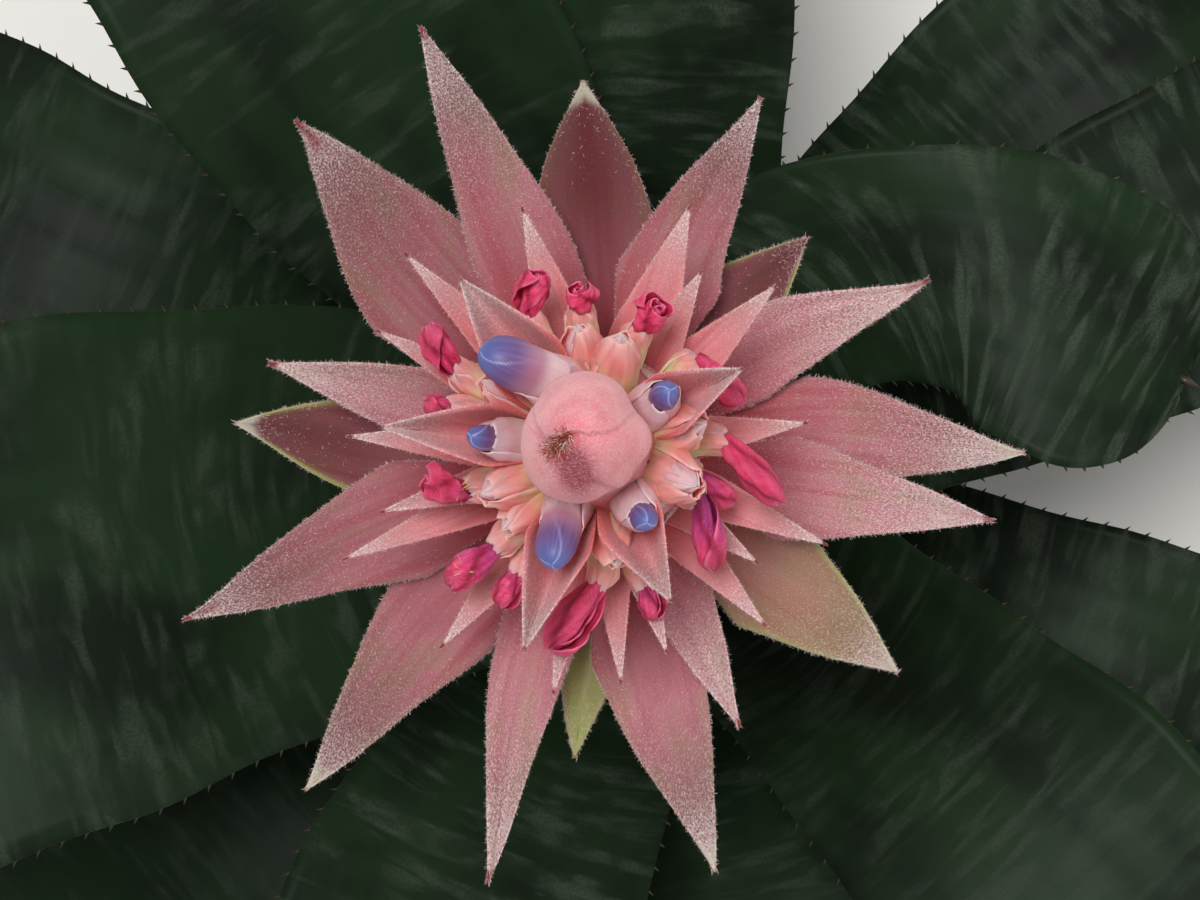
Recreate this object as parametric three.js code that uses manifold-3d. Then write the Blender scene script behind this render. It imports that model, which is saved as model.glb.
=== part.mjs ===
// Aechmea bromeliad: a rosette of strap leaves round a water tank, with a pink flower head on its stalk,
// cut at the foot of its short stem. Millimetres, +Z up. The origin is the centre of the stem's cut face.
// Azimuths are degrees counter-clockwise from +X, seen from above.
import * as THREE from "three";
import { mergeVertices } from "three/addons/utils/BufferGeometryUtils.js";
import Module from "manifold-3d";

const wasm = await Module();
wasm.setup();

// Driving dimensions
const GAP = 0.3; // between pieces that touch
const STEM_HEIGHT = 60;
const STEM_FOOT_RADIUS = 20;
const STEM_TOP_RADIUS = 8.5;
const SCAR_DEPTH = 0.3; // of the rings that old leaves left on the stem
const LEAF_THICKNESS = 1.1;
const LEAF_EDGE_THICKNESS = 0.8;
const LEAF_FIRST_HEIGHT = 5; // height of the lowest leaf's foot on the stem
const LEAF_STEP = 3.9; // from one leaf's foot to the next one's
const LEAF_WRAP = 58; // degrees to each side that a sheath wraps round the tank, at most
const LEAF_CHANNEL = 3; // how far a blade's edges stand above its middle
const LEAF_FACET_SAG = 0.25; // how far the flat facets of a leaf's foot dip towards the stem
const PROFILE_STEPS = 60;
const SCAPE_RADIUS = 5.5;
const SCAPE_TOP_RADIUS = 7;
const SCAPE_TOP = 253;
const BRACT_THICKNESS = 0.9;
const BRACT_FOOT_HEIGHT = 246; // where the outer bracts of level 0 leave the stalk
const BRACT_LEVEL_STEP = 2.4;
const FLORAL_FULLNESS = 1.1; // of a floral bract's sides; a higher number is fuller
const CROWN_CENTRE = new THREE.Vector3(-0.6, 0.45, 0);
const CROWN_RADIUS = 9.5;
const CROWN_BASE = 303;
const CROWN_TOP = 318;

// Leaves from the outermost to the innermost. Each has its azimuth, the pitch and length of its erect foot,
// the length of its arch and the pitch at the tip, its greatest width, and a turn of the blade to the left.
const LEAVES = [
  { azimuth: 338, rise: 50, erect: 30, arch: 230, fall: -66.5, width: 66, turn: 4 },
  { azimuth: 98, rise: 51, erect: 31, arch: 240, fall: -70.1, width: 64, turn: -6 },
  { azimuth: 218, rise: 52, erect: 32, arch: 245, fall: -74, width: 66, turn: 5 },
  { azimuth: 45, rise: 57, erect: 38, arch: 215, fall: -50, width: 62, turn: -8 },
  { azimuth: 282, rise: 60, erect: 42, arch: 215, fall: -46, width: 66, turn: 6 },
  { azimuth: 158, rise: 62, erect: 46, arch: 205, fall: -44, width: 62, turn: -5 },
  { azimuth: 21, rise: 62, erect: 46, arch: 200, fall: -48, width: 64, turn: 7 },
  { azimuth: 318, rise: 65, erect: 54, arch: 210, fall: -36, width: 70, turn: -5 },
  { azimuth: 250, rise: 66, erect: 58, arch: 205, fall: -34, width: 70, turn: -6 },
  { azimuth: 92, rise: 67, erect: 64, arch: 205, fall: -30, width: 74, turn: 2 },
  { azimuth: 122, rise: 68, erect: 68, arch: 205, fall: -30, width: 76, turn: 3 },
  { azimuth: 58, rise: 70, erect: 84, arch: 122, fall: -74, width: 56, turn: -87 },
  { azimuth: 187, rise: 70, erect: 78, arch: 215, fall: -36, width: 92, turn: 15 },
];

// Outer bracts: azimuths of foot and tip, reach of the tip from the stalk's axis, greatest width, level (a
// higher one lies in front), height of the tip over a level bract's, and how full the sides are near the tip.
const OUTER_BRACTS = [
  { foot: 113, tip: 113.5, reach: 71, width: 15.5, level: 2, lift: 2, full: 1.4 },
  { foot: 94, tip: 94, reach: 59, width: 22.5, level: 0, lift: -5, full: 1.7 },
  { foot: 71, tip: 66.5, reach: 59, width: 16.5, level: 2, lift: 0, full: 1.25 },
  { foot: 51, tip: 48, reach: 46, width: 16.5, level: 0, lift: -7, full: 1.7 },
  { foot: 35, tip: 28, reach: 55, width: 14.5, level: 2, lift: 1, full: 1.25 },
  { foot: 6, tip: 0, reach: 63.5, width: 19, level: 1, lift: -1, full: 1.3 },
  { foot: 349, tip: 350, reach: 59.5, width: 16, level: 2, lift: -1, full: 1.25 },
  { foot: 323, tip: 323, reach: 56, width: 20.5, level: 0, lift: -5, full: 1.45 },
  { foot: 297, tip: 296, reach: 46, width: 11, level: 2, lift: 1, full: 1.25 },
  { foot: 281, tip: 284.5, reach: 65.5, width: 18.5, level: 1, lift: 0, full: 1.25 },
  { foot: 265, tip: 263, reach: 48, width: 12.5, level: -1, lift: -9, full: 1.6 },
  { foot: 249, tip: 254.5, reach: 67.5, width: 12.5, level: 2, lift: 0, full: 1.25 },
  { foot: 223, tip: 228, reach: 69.5, width: 20, level: 1, lift: -1, full: 1.25 },
  { foot: 198, tip: 201.5, reach: 69, width: 18.5, level: 2, lift: 0, full: 1.25 },
  { foot: 180, tip: 175, reach: 59.5, width: 20, level: 0, lift: -6, full: 1.5 },
  { foot: 165, tip: 165, reach: 53.5, width: 13, level: 2, lift: 1, full: 1.25 },
  { foot: 138, tip: 133, reach: 70, width: 24.5, level: 1, lift: 0, full: 1.5 },
];

// Floral bracts fused in the head: azimuth, reach, width, heights of root and tip. Those with a cup are
// boats, each round a tube, and the cup is how far their edges rise.
const FLORAL_BRACTS = [
  { azimuth: 135, reach: 40.6, width: 7, root: 262, tip: 274 },
  { azimuth: 152, reach: 37, width: 6.5, root: 265, tip: 275 },
  { azimuth: 108, reach: 37, width: 8, root: 264, tip: 275 },
  { azimuth: 70, reach: 38, width: 10, root: 262, tip: 273 },
  { azimuth: 60, reach: 29.5, width: 8, root: 266, tip: 277 },
  { azimuth: 43, reach: 35, width: 8, root: 263, tip: 274 },
  { azimuth: 7, reach: 30, width: 6, root: 266, tip: 277 },
  { azimuth: 337, reach: 35.5, width: 6.5, root: 262, tip: 274 },
  { azimuth: 324, reach: 28, width: 6, root: 266, tip: 276 },
  { azimuth: 313, reach: 35, width: 7, root: 263, tip: 273 },
  { azimuth: 288, reach: 31, width: 6, root: 265, tip: 275 },
  { azimuth: 275, reach: 34, width: 6, root: 263, tip: 275 },
  { azimuth: 259, reach: 36, width: 6.5, root: 265, tip: 275 },
  { azimuth: 231, reach: 37, width: 7, root: 263, tip: 274 },
  { azimuth: 203, reach: 41, width: 6.5, root: 262, tip: 273 },
  { azimuth: 196, reach: 33, width: 6, root: 266, tip: 277 },
  { azimuth: 177, reach: 37, width: 7, root: 263, tip: 275 },
  { azimuth: 129, reach: 30, width: 10.5, root: 279, tip: 290, cup: 11 },
  { azimuth: 27, reach: 23, width: 8.6, root: 281, tip: 292, cup: 11 },
  { azimuth: 175, reach: 30, width: 8.4, root: 280, tip: 290, cup: 11 },
  { azimuth: 251, reach: 30, width: 9, root: 279, tip: 291, cup: 11 },
  { azimuth: 296, reach: 24, width: 9, root: 281, tip: 292, cup: 11 },
];

// Sepal tubes round the crown: azimuth, reach and height of the mouth, radius.
const UPPER_TUBES = [
  { azimuth: 10, reach: 13.2, height: 294, radius: 2.5 },
  { azimuth: 33, reach: 11.2, height: 297, radius: 2.9 },
  { azimuth: 76, reach: 13, height: 294, radius: 2.8 },
  { azimuth: 98, reach: 14, height: 292, radius: 2.4 },
  { azimuth: 125, reach: 11.2, height: 297, radius: 3.2 },
  { azimuth: 150, reach: 15, height: 292, radius: 2.3 },
  { azimuth: 177, reach: 14, height: 296, radius: 2.7 },
  { azimuth: 204, reach: 14.3, height: 293, radius: 2.6 },
  { azimuth: 223, reach: 14.8, height: 291, radius: 2.3 },
  { azimuth: 247, reach: 10.7, height: 294, radius: 2.9 },
  { azimuth: 281, reach: 14.6, height: 291, radius: 2.3 },
  { azimuth: 305, reach: 11.6, height: 297, radius: 2.9 },
  { azimuth: 338, reach: 13, height: 295, radius: 3 },
];

// Blue buds: the tube each stands in, its length and radius, its pitch and the azimuth it points to.
const BUDS = [
  { tube: 1, length: 5, radius: 2, pitch: 74, lean: 33 },
  { tube: 4, length: 10, radius: 3.5, pitch: 28, lean: 160 },
  { tube: 6, length: 5, radius: 1.8, pitch: 66, lean: 177 },
  { tube: 9, length: 9.5, radius: 2.9, pitch: 46, lean: 261 },
  { tube: 11, length: 5, radius: 1.9, pitch: 72, lean: 305 },
];
const BUD_ROOT = 2.6; // length of a bud that stands inside its tube

// Spent flowers: azimuth, reach and height of the middle, azimuth the long axis points to, length and radius.
const SPENT_FLOWERS = [
  { azimuth: 113, reach: 23.2, lean: 70, length: 7, radius: 2.6, height: 283 },
  { azimuth: 97, reach: 21, lean: 95, length: 4.6, radius: 2.1, height: 284 },
  { azimuth: 68, reach: 19.4, lean: 40, length: 6.4, radius: 2.4, height: 285 },
  { azimuth: 148, reach: 26.2, lean: 120, length: 8, radius: 2.3, height: 281 },
  { azimuth: 165, reach: 23.4, lean: 170, length: 4.4, radius: 1.8, height: 281 },
  { azimuth: 195, reach: 21.9, lean: 170, length: 7, radius: 2.6, height: 284 },
  { azimuth: 223.5, reach: 24.3, lean: 222, length: 9, radius: 2.3, height: 281 },
  { azimuth: 237, reach: 23.6, lean: 240, length: 6.5, radius: 2, height: 277 },
  { azimuth: 262, reach: 24, lean: 230, length: 12.5, radius: 3, height: 280 },
  { azimuth: 29, reach: 19.6, lean: 315, length: 9.2, radius: 2.1, height: 281 },
  { azimuth: 352, reach: 22, lean: 312, length: 12.4, radius: 2.1, height: 283 },
  { azimuth: 341, reach: 17.4, lean: 325, length: 7, radius: 1.9, height: 279 },
  { azimuth: 322, reach: 19.4, lean: 279, length: 10.8, radius: 2.4, height: 282 },
  { azimuth: 288, reach: 23, lean: 285, length: 5.5, radius: 1.9, height: 276 },
];

const { lerp, degToRad: radians, radToDeg: degrees } = THREE.MathUtils;
const smooth = (x) => THREE.MathUtils.smoothstep(x, 0, 1);

// A point at an azimuth, reach and height.
function polar(azimuth, reach, height) {
  const a = radians(azimuth);
  return new THREE.Vector3(reach * Math.cos(a), reach * Math.sin(a), height);
}

// A closed geometry from points and triangles.
function geometryOf(points, triangles) {
  const geometry = new THREE.BufferGeometry().setFromPoints(points);
  geometry.setIndex(triangles);
  geometry.computeVertexNormals();
  return geometry;
}

// A geometry as a solid for joining and cutting.
function solidOf(geometry) {
  const bare = new THREE.BufferGeometry();
  bare.setAttribute("position", geometry.getAttribute("position"));
  bare.setIndex(geometry.index);
  const merged = mergeVertices(bare, 1e-3);
  return new wasm.Manifold(
    new wasm.Mesh({
      numProp: 3,
      vertProperties: new Float32Array(merged.attributes.position.array),
      triVerts: new Uint32Array(merged.index.array),
    }),
  );
}

// A solid back as a geometry.
function geometryOfSolid(solid) {
  const mesh = solid.getMesh();
  const geometry = new THREE.BufferGeometry();
  geometry.setAttribute("position", new THREE.BufferAttribute(mesh.vertProperties, 3));
  geometry.setIndex(new THREE.BufferAttribute(mesh.triVerts, 1));
  geometry.computeVertexNormals();
  return geometry;
}

// A thin blade. place(row, u) gives its middle surface, row running from 0 at the foot to 1 at the tip and u
// from -1 to 1 across. It ends in a point, is thickest along its middle, and is split alike on both faces.
function blade(rows, columns, place, thickness, edge) {
  const step = 1e-3;
  const normalAt = (row, u) => {
    const along = place(Math.min(row + step, 1), u).sub(place(Math.max(row - step, 0), u));
    const across = place(row, u + step).sub(place(row, u - step));
    return along.cross(across).normalize();
  };
  const points = [];
  for (const side of [1, -1]) {
    for (let i = 0; i < rows; i++) {
      for (let j = 0; j <= columns; j++) {
        const row = i / rows;
        const u = -1 + (2 * j) / columns;
        const half = lerp(thickness, edge, u * u) / 2;
        points.push(place(row, u).addScaledVector(normalAt(row, u), side * half));
      }
    }
    points.push(place(1, 0).addScaledVector(normalAt(1 - 2 / rows, 0), (side * edge) / 2));
  }
  const perSide = rows * (columns + 1) + 1;
  const upper = (i, j) => i * (columns + 1) + j;
  const lower = (i, j) => perSide + upper(i, j);
  const upperTip = perSide - 1;
  const lowerTip = 2 * perSide - 1;
  const triangles = [];
  const quad = (a, b, c, d) => triangles.push(a, b, c, a, c, d);
  for (let j = 0; j < columns; j++) {
    for (let i = 0; i < rows - 1; i++) {
      quad(upper(i, j), upper(i + 1, j), upper(i + 1, j + 1), upper(i, j + 1));
      triangles.push(lower(i, j), lower(i + 1, j + 1), lower(i + 1, j));
      triangles.push(lower(i, j), lower(i, j + 1), lower(i + 1, j + 1));
    }
    triangles.push(upper(rows - 1, j), upperTip, upper(rows - 1, j + 1));
    triangles.push(lower(rows - 1, j), lower(rows - 1, j + 1), lowerTip);
    quad(lower(0, j), upper(0, j), upper(0, j + 1), lower(0, j + 1));
  }
  for (let i = 0; i < rows - 1; i++) {
    quad(lower(i, 0), lower(i + 1, 0), upper(i + 1, 0), upper(i, 0));
    quad(upper(i, columns), upper(i + 1, columns), lower(i + 1, columns), lower(i, columns));
  }
  quad(lower(rows - 1, 0), lowerTip, upperTip, upper(rows - 1, 0));
  quad(upper(rows - 1, columns), upperTip, lowerTip, lower(rows - 1, columns));
  return geometryOf(points, triangles);
}

// A round body along a path of points, with the radius radiusAt(row, angle), closed by a point at each end.
function rod(path, sides, radiusAt) {
  const rings = path.length - 2;
  const points = [path[0]];
  const forward = path[path.length - 1].clone().sub(path[0]).normalize();
  const aside = Math.abs(forward.z) > 0.9 ? new THREE.Vector3(1, 0, 0) : new THREE.Vector3(0, 0, 1);
  const first = aside.cross(forward).normalize();
  const second = forward.clone().cross(first);
  for (let i = 1; i <= rings; i++) {
    for (let k = 0; k < sides; k++) {
      const angle = (2 * Math.PI * k) / sides;
      const radius = radiusAt((i - 1) / (rings - 1), angle);
      const point = path[i].clone().addScaledVector(first, radius * Math.cos(angle));
      points.push(point.addScaledVector(second, radius * Math.sin(angle)));
    }
  }
  points.push(path[path.length - 1]);
  const last = points.length - 1;
  const at = (i, k) => 1 + i * sides + (k % sides);
  const triangles = [];
  for (let k = 0; k < sides; k++) {
    triangles.push(0, at(0, k + 1), at(0, k));
    triangles.push(last, at(rings - 1, k), at(rings - 1, k + 1));
    for (let i = 0; i < rings - 1; i++) {
      triangles.push(at(i, k), at(i, k + 1), at(i + 1, k + 1));
      triangles.push(at(i, k), at(i + 1, k + 1), at(i + 1, k));
    }
  }
  return geometryOf(points, triangles);
}

// A body turned about the Z axis from a profile of radii and heights, from the bottom up.
function turned(profile, sides) {
  const points = profile.map(([radius, height]) => new THREE.Vector2(radius, height));
  const geometry = new THREE.LatheGeometry(points, sides).rotateX(Math.PI / 2);
  geometry.deleteAttribute("normal");
  geometry.deleteAttribute("uv");
  const merged = mergeVertices(geometry, 1e-4);
  merged.computeVertexNormals();
  return merged;
}

// Stem: a short cone with a flat cut foot, ringed by old leaf scars.
const stemRadius = (height) => lerp(STEM_FOOT_RADIUS, STEM_TOP_RADIUS, height / STEM_HEIGHT);

function stemGeometry() {
  const profile = [[0, 0], [STEM_FOOT_RADIUS - 1, 0], [STEM_FOOT_RADIUS, 1.5]];
  for (let height = 6; height < STEM_HEIGHT - 2; height += 11) {
    profile.push([stemRadius(height), height]);
    profile.push([stemRadius(height + 3) - SCAR_DEPTH, height + 3]);
  }
  profile.push([STEM_TOP_RADIUS, STEM_HEIGHT], [0, STEM_HEIGHT]);
  return turned(profile, 20);
}

// Leaf: its profile is a curve of reach and height, straight along the sheath and then arched over. Profiles
// of leaves further in lie above those further out, so the blades nest without touching.
function leafProfile(leaf, index) {
  const height = LEAF_FIRST_HEIGHT + LEAF_STEP * index;
  const reach = stemRadius(height) + GAP + LEAF_THICKNESS / 2 + LEAF_FACET_SAG;
  const curve = [{ reach, height, along: 0 }];
  const stride = (leaf.erect + leaf.arch) / PROFILE_STEPS;
  for (let i = 0; i < PROFILE_STEPS; i++) {
    const last = curve[i];
    const bend = Math.max(0, (last.along + stride / 2 - leaf.erect) / leaf.arch);
    const pitch = radians(lerp(leaf.rise, leaf.fall, bend));
    curve.push({
      reach: last.reach + Math.cos(pitch) * stride,
      height: last.height + Math.sin(pitch) * stride,
      along: last.along + stride,
    });
  }
  return curve;
}

// Height of a profile at a reach from the axis.
function heightAt(profile, reach) {
  let i = 1;
  while (i < PROFILE_STEPS && profile[i].reach < reach) i++;
  const share = Math.min(1, (reach - profile[i - 1].reach) / (profile[i].reach - profile[i - 1].reach));
  return lerp(profile[i - 1].height, profile[i].height, share);
}

// Width of a leaf at a share of its length: a broad sheath, a strap of even width and a short rounded tip.
function leafWidth(leaf, share) {
  const taper = share < 0.82 ? 1 : Math.sqrt(Math.max(0, 1 - ((share - 0.82) / 0.185) ** 2));
  return leaf.width * taper * lerp(0.82, 1, smooth((share - 0.3) / 0.3));
}

// The middle line of a leaf seen from above: it leaves the tank radially and swings round by its turn.
function leafPlan(leaf, profile) {
  const plan = [{ point: polar(leaf.azimuth, profile[0].reach, 0), heading: leaf.azimuth }];
  for (let i = 1; i < profile.length; i++) {
    const swing = smooth((profile[i].along - leaf.erect * 0.6) / leaf.arch);
    const heading = leaf.azimuth + leaf.turn * swing;
    const stride = profile[i].reach - profile[i - 1].reach;
    plan.push({ point: plan[i - 1].point.clone().add(polar(heading, stride, 0)), heading });
  }
  return plan;
}

// A leaf's cross lines are arcs about the tank at its foot and straight further out.
function leafGeometry(leaf, index) {
  const profile = leafProfile(leaf, index);
  const plan = leafPlan(leaf, profile);
  const place = (row, u) => {
    const share = 1 - (1 - row) ** 1.35;
    const along = share * (leaf.erect + leaf.arch);
    const before = Math.min(Math.floor(share * PROFILE_STEPS), PROFILE_STEPS - 1);
    const between = share * PROFILE_STEPS - before;
    const middle = plan[before].point.clone().lerp(plan[before + 1].point, between);
    const heading = lerp(plan[before].heading, plan[before + 1].heading, between);
    const azimuth = degrees(Math.atan2(middle.y, middle.x));
    const half = leafWidth(leaf, share) / 2;
    const wrap = Math.min(degrees(half / middle.length()), LEAF_WRAP);
    const flatness = smooth((along - leaf.erect * 1.3) / (leaf.arch * 0.5));
    const straight = middle.clone().add(polar(heading + 90, u * half, 0));
    const point = polar(azimuth + u * wrap, middle.length(), 0).lerp(straight, flatness);
    point.z = heightAt(profile, point.length()) + LEAF_CHANNEL * u * u * flatness;
    return point;
  };
  return blade(13, 6, place, LEAF_THICKNESS, LEAF_EDGE_THICKNESS);
}

// Scape: the flower head's stalk with its erect scape bracts fused on.
function scapeGeometry() {
  const foot = STEM_HEIGHT + GAP;
  let solid = solidOf(turned([[0, foot], [SCAPE_RADIUS, foot], [SCAPE_RADIUS, SCAPE_TOP - 30],
    [SCAPE_TOP_RADIUS, SCAPE_TOP - 14], [SCAPE_TOP_RADIUS, SCAPE_TOP], [0, SCAPE_TOP]], 16));
  const scapeBracts = 7;
  for (let i = 0; i < scapeBracts; i++) {
    const root = 74 + 20 * i;
    const azimuth = 137.5 * i;
    const place = (row, u) => {
      const spread = SCAPE_RADIUS - 0.2 + 1.6 * row + 5 * row * row;
      const half = 72 * (1 - row ** 1.8) + 1;
      return polar(azimuth + u * half, spread, root + 46 * row);
    };
    solid = solid.add(solidOf(blade(4, 4, place, 1, 0.8)));
  }
  return geometryOfSolid(solid);
}

// Outline of a pointed bract: a narrow foot, widest a third of the way out, then in to a fine point. Full
// sides keep their width for longer.
function bractHalfWidth(row, width, full) {
  const foot = lerp(0.6, 1, smooth(row / 0.36));
  const taper = row < 0.36 ? 1 : 1 - ((row - 0.36) / 0.64) ** full;
  return (width / 2) * foot * Math.max(taper, 0.02);
}

// Outer bract: it leaves the stalk at its level and lies out in a star, keeled along its middle.
function outerBractGeometry(bract) {
  const footReach = SCAPE_TOP_RADIUS + GAP + BRACT_THICKNESS / 2;
  const height = BRACT_FOOT_HEIGHT + BRACT_LEVEL_STEP * bract.level;
  const place = (row, u) => {
    const reach = lerp(footReach, bract.reach, row);
    const swing = (((bract.tip - bract.foot + 540) % 360) - 180) * smooth((row - 0.3) / 0.7);
    const middle = polar(bract.foot + swing, reach, 0);
    const half = Math.min(bractHalfWidth(row, bract.width, bract.full), reach * 0.285);
    const point = middle.add(polar(bract.foot + swing + 90, u * half, 0));
    const keel = 0.6 * Math.abs(u) + 1.2 * u * u * smooth((row - 0.35) / 0.3);
    point.z = height + 7 * row + bract.lift * row * row + keel * Math.min(1, 6 * (1 - row));
    return point;
  };
  return blade(7, 4, place, BRACT_THICKNESS, 0.7);
}

// Floral bract: a short pointed blade whose root is sunk in the head.
function floralBractGeometry(bract) {
  const place = (row, u) => {
    const reach = lerp(5.5, bract.reach, row);
    const half = Math.min(bractHalfWidth(row, bract.width, FLORAL_FULLNESS), reach * 0.5);
    const point = polar(bract.azimuth, reach, 0).add(polar(bract.azimuth + 90, u * half, 0));
    const cup = 1.2 * (1 - row) + (bract.cup ?? 1) * Math.sin(Math.PI * row ** 0.7);
    point.z = lerp(bract.root, bract.tip, row) + 1.4 * Math.sin(Math.PI * row) + cup * u * u;
    return point;
  };
  return blade(5, 2, place, 1, 0.7);
}

// Sepal tube: an inflated cone from the head's core to its mouth.
function tubeGeometry(azimuth, reach, height, radius, rootHeight) {
  const root = polar(azimuth, 3.5, rootHeight);
  const mouth = polar(azimuth, reach, height);
  const shares = [0, 0.06, 0.35, 0.7, 0.93, 1];
  const path = shares.map((share) => root.clone().lerp(mouth, share));
  const radii = [0.75, 1, 0.96, 0.6];
  return rod(path, 8, (row) => radius * radii[Math.round(row * 3)]);
}

// Blue bud: three petals rolled in a blunt point, its foot in the tube's mouth.
function budGeometry(bud, grow) {
  const tube = UPPER_TUBES[bud.tube];
  const pitch = radians(bud.pitch);
  const axis = polar(bud.lean, Math.cos(pitch), Math.sin(pitch));
  const foot = polar(tube.azimuth, tube.reach, tube.height).addScaledVector(axis, -BUD_ROOT - grow);
  const span = BUD_ROOT + bud.length + 2 * grow;
  const shares = [0, 0.04, 0.3, 0.6, 0.85, 0.96, 1];
  const path = shares.map((share) => foot.clone().addScaledVector(axis, share * span));
  const radii = [0.5, 0.85, 1, 0.78, 0.4];
  return rod(path, 9, (row, angle) => {
    const lobes = 1 + 0.05 * Math.cos(3 * angle);
    return bud.radius * radii[Math.round(row * 4)] * lobes + grow;
  });
}

// Spent flower: a rolled and twisted tube of three withered petals.
function spentGeometry(flower, grow) {
  const middle = polar(flower.azimuth, flower.reach, flower.height);
  const axis = polar(flower.lean, 0.94, -0.2).normalize();
  const shares = [-0.5, -0.44, -0.2, 0.1, 0.36, 0.5];
  const span = flower.length + 2 * grow;
  const path = shares.map((share) => middle.clone().addScaledVector(axis, share * span));
  const radii = [0.66, 0.95, 1, 0.55];
  return rod(path, 9, (row, angle) => {
    const lobes = 1 + 0.16 * Math.cos(3 * (angle + 1.2 * row));
    return 0.95 * flower.radius * radii[Math.round(row * 3)] * lobes + grow;
  });
}

// Crown bud: the youngest bracts wrapped over each other in a dome, with a spiral of three steps on it.
function crownGeometry() {
  const rings = 6;
  const sides = 24;
  const points = [new THREE.Vector3(0, 0, CROWN_TOP).add(CROWN_CENTRE)];
  for (let i = 1; i <= rings; i++) {
    for (let k = 0; k < sides; k++) {
      const share = i / rings;
      const reach = CROWN_RADIUS * Math.sin((share * Math.PI) / 2);
      const turn = (3 * (k / sides + 0.12 * share)) % 1;
      const step = 0.9 * (1 - turn) * Math.sin(Math.PI * share);
      const height = lerp(CROWN_BASE, CROWN_TOP, Math.cos((share * Math.PI) / 2) ** 0.8);
      const point = polar((360 * k) / sides, reach * (1 - 0.05 * turn), height - step);
      points.push(point.add(CROWN_CENTRE));
    }
  }
  points.push(new THREE.Vector3(0, 0, CROWN_BASE).add(CROWN_CENTRE));
  const at = (i, k) => 1 + i * sides + (k % sides);
  const last = points.length - 1;
  const triangles = [];
  for (let k = 0; k < sides; k++) {
    triangles.push(0, at(0, k), at(0, k + 1));
    for (let i = 0; i < rings - 1; i++) {
      triangles.push(at(i, k), at(i + 1, k), at(i + 1, k + 1));
      triangles.push(at(i, k), at(i + 1, k + 1), at(i, k + 1));
    }
    triangles.push(last, at(rings - 1, k + 1), at(rings - 1, k));
  }
  return geometryOf(points, triangles);
}

// Flower head: the core, the floral bracts and the sepal tubes in one, with sockets for buds and flowers.
function headGeometry() {
  const foot = SCAPE_TOP + GAP;
  const core = [[0, foot], [7, foot], [12, foot + 5], [13.5, foot + 14], [12, foot + 26], [10, foot + 38],
    [8.5, CROWN_BASE - GAP], [0, CROWN_BASE - GAP]];
  let solid = solidOf(turned(core, 18));
  for (const bract of FLORAL_BRACTS) {
    solid = solid.add(solidOf(floralBractGeometry(bract)));
  }
  for (const { azimuth, reach, height, radius } of UPPER_TUBES) {
    solid = solid.add(solidOf(tubeGeometry(azimuth, reach, height, radius, height - 15)));
  }
  for (const { azimuth, reach, height } of SPENT_FLOWERS) {
    solid = solid.add(solidOf(tubeGeometry(azimuth, reach - 1.5, height - 0.5, 2.2, height - 9)));
  }
  for (const bud of BUDS) {
    solid = solid.subtract(solidOf(budGeometry(bud, GAP)));
  }
  for (const flower of SPENT_FLOWERS) {
    solid = solid.subtract(solidOf(spentGeometry(flower, GAP)));
  }
  solid = solid.subtract(solidOf(crownGeometry()));
  const bodies = solid.decompose().sort((a, b) => b.volume() - a.volume());
  return geometryOfSolid(bodies[0]);
}

const material = (color, roughness) => new THREE.MeshStandardMaterial({ color, roughness, metalness: 0 });
const stemBrown = material(0x6b5238, 0.9);
const leafGreen = material(0x3f5640, 0.6);
const scapeWhite = material(0xd9bfb2, 0.85);
const bractPink = material(0xcd828c, 0.75);
const headPink = material(0xe3a59b, 0.7);
const crownPink = material(0xe6a5a5, 0.7);
const budBlue = material(0x736ebe, 0.35);
const spentMagenta = material(0xd7326e, 0.45);

const plant = new THREE.Group();
const two = (number) => String(number).padStart(2, "0");

function addPiece(name, geometry, itsMaterial) {
  const mesh = new THREE.Mesh(geometry, itsMaterial);
  mesh.name = name;
  plant.add(mesh);
}

addPiece("stem", stemGeometry(), stemBrown);
LEAVES.forEach((leaf, i) => addPiece(`leaf_${two(i + 1)}`, leafGeometry(leaf, i), leafGreen));
addPiece("scape", scapeGeometry(), scapeWhite);
OUTER_BRACTS.forEach((bract, i) => addPiece(`bract_${two(i + 1)}`, outerBractGeometry(bract), bractPink));
addPiece("flower_head", headGeometry(), headPink);
addPiece("crown_bud", crownGeometry(), crownPink);
BUDS.forEach((bud, i) => addPiece(`bud_${two(i + 1)}`, budGeometry(bud, 0), budBlue));
SPENT_FLOWERS.forEach((flower, i) => {
  addPiece(`spent_flower_${two(i + 1)}`, spentGeometry(flower, 0), spentMagenta);
});

export default plant;
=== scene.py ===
"""Aechmea bromeliad: the finer pieces, finishes and stage that dress the packed model."""
import math

import bpy
import numpy as np
from mathutils import Matrix, Vector


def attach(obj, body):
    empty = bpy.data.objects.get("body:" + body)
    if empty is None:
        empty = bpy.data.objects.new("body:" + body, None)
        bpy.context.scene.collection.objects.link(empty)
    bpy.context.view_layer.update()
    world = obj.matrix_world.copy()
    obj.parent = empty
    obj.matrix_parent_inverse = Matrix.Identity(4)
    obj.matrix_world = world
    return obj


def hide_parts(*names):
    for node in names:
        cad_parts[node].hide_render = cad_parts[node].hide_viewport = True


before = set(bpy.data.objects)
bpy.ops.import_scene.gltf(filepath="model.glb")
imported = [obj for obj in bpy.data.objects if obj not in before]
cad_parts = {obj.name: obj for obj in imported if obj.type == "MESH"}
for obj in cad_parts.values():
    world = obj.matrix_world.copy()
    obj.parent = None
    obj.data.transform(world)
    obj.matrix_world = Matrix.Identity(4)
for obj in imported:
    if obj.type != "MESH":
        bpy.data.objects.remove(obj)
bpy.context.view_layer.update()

bl_info = {
    "name": "Aechmea bromeliad",
    "version": (1, 0, 0),
    "blender": (4, 5, 0),
    "location": "View3D > Sidebar > Aechmea",
    "description": "Builds the leaves, bracts, flowers, finishes and stage of an aechmea bromeliad",
    "category": "Object",
}

MM = 0.001

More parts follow.
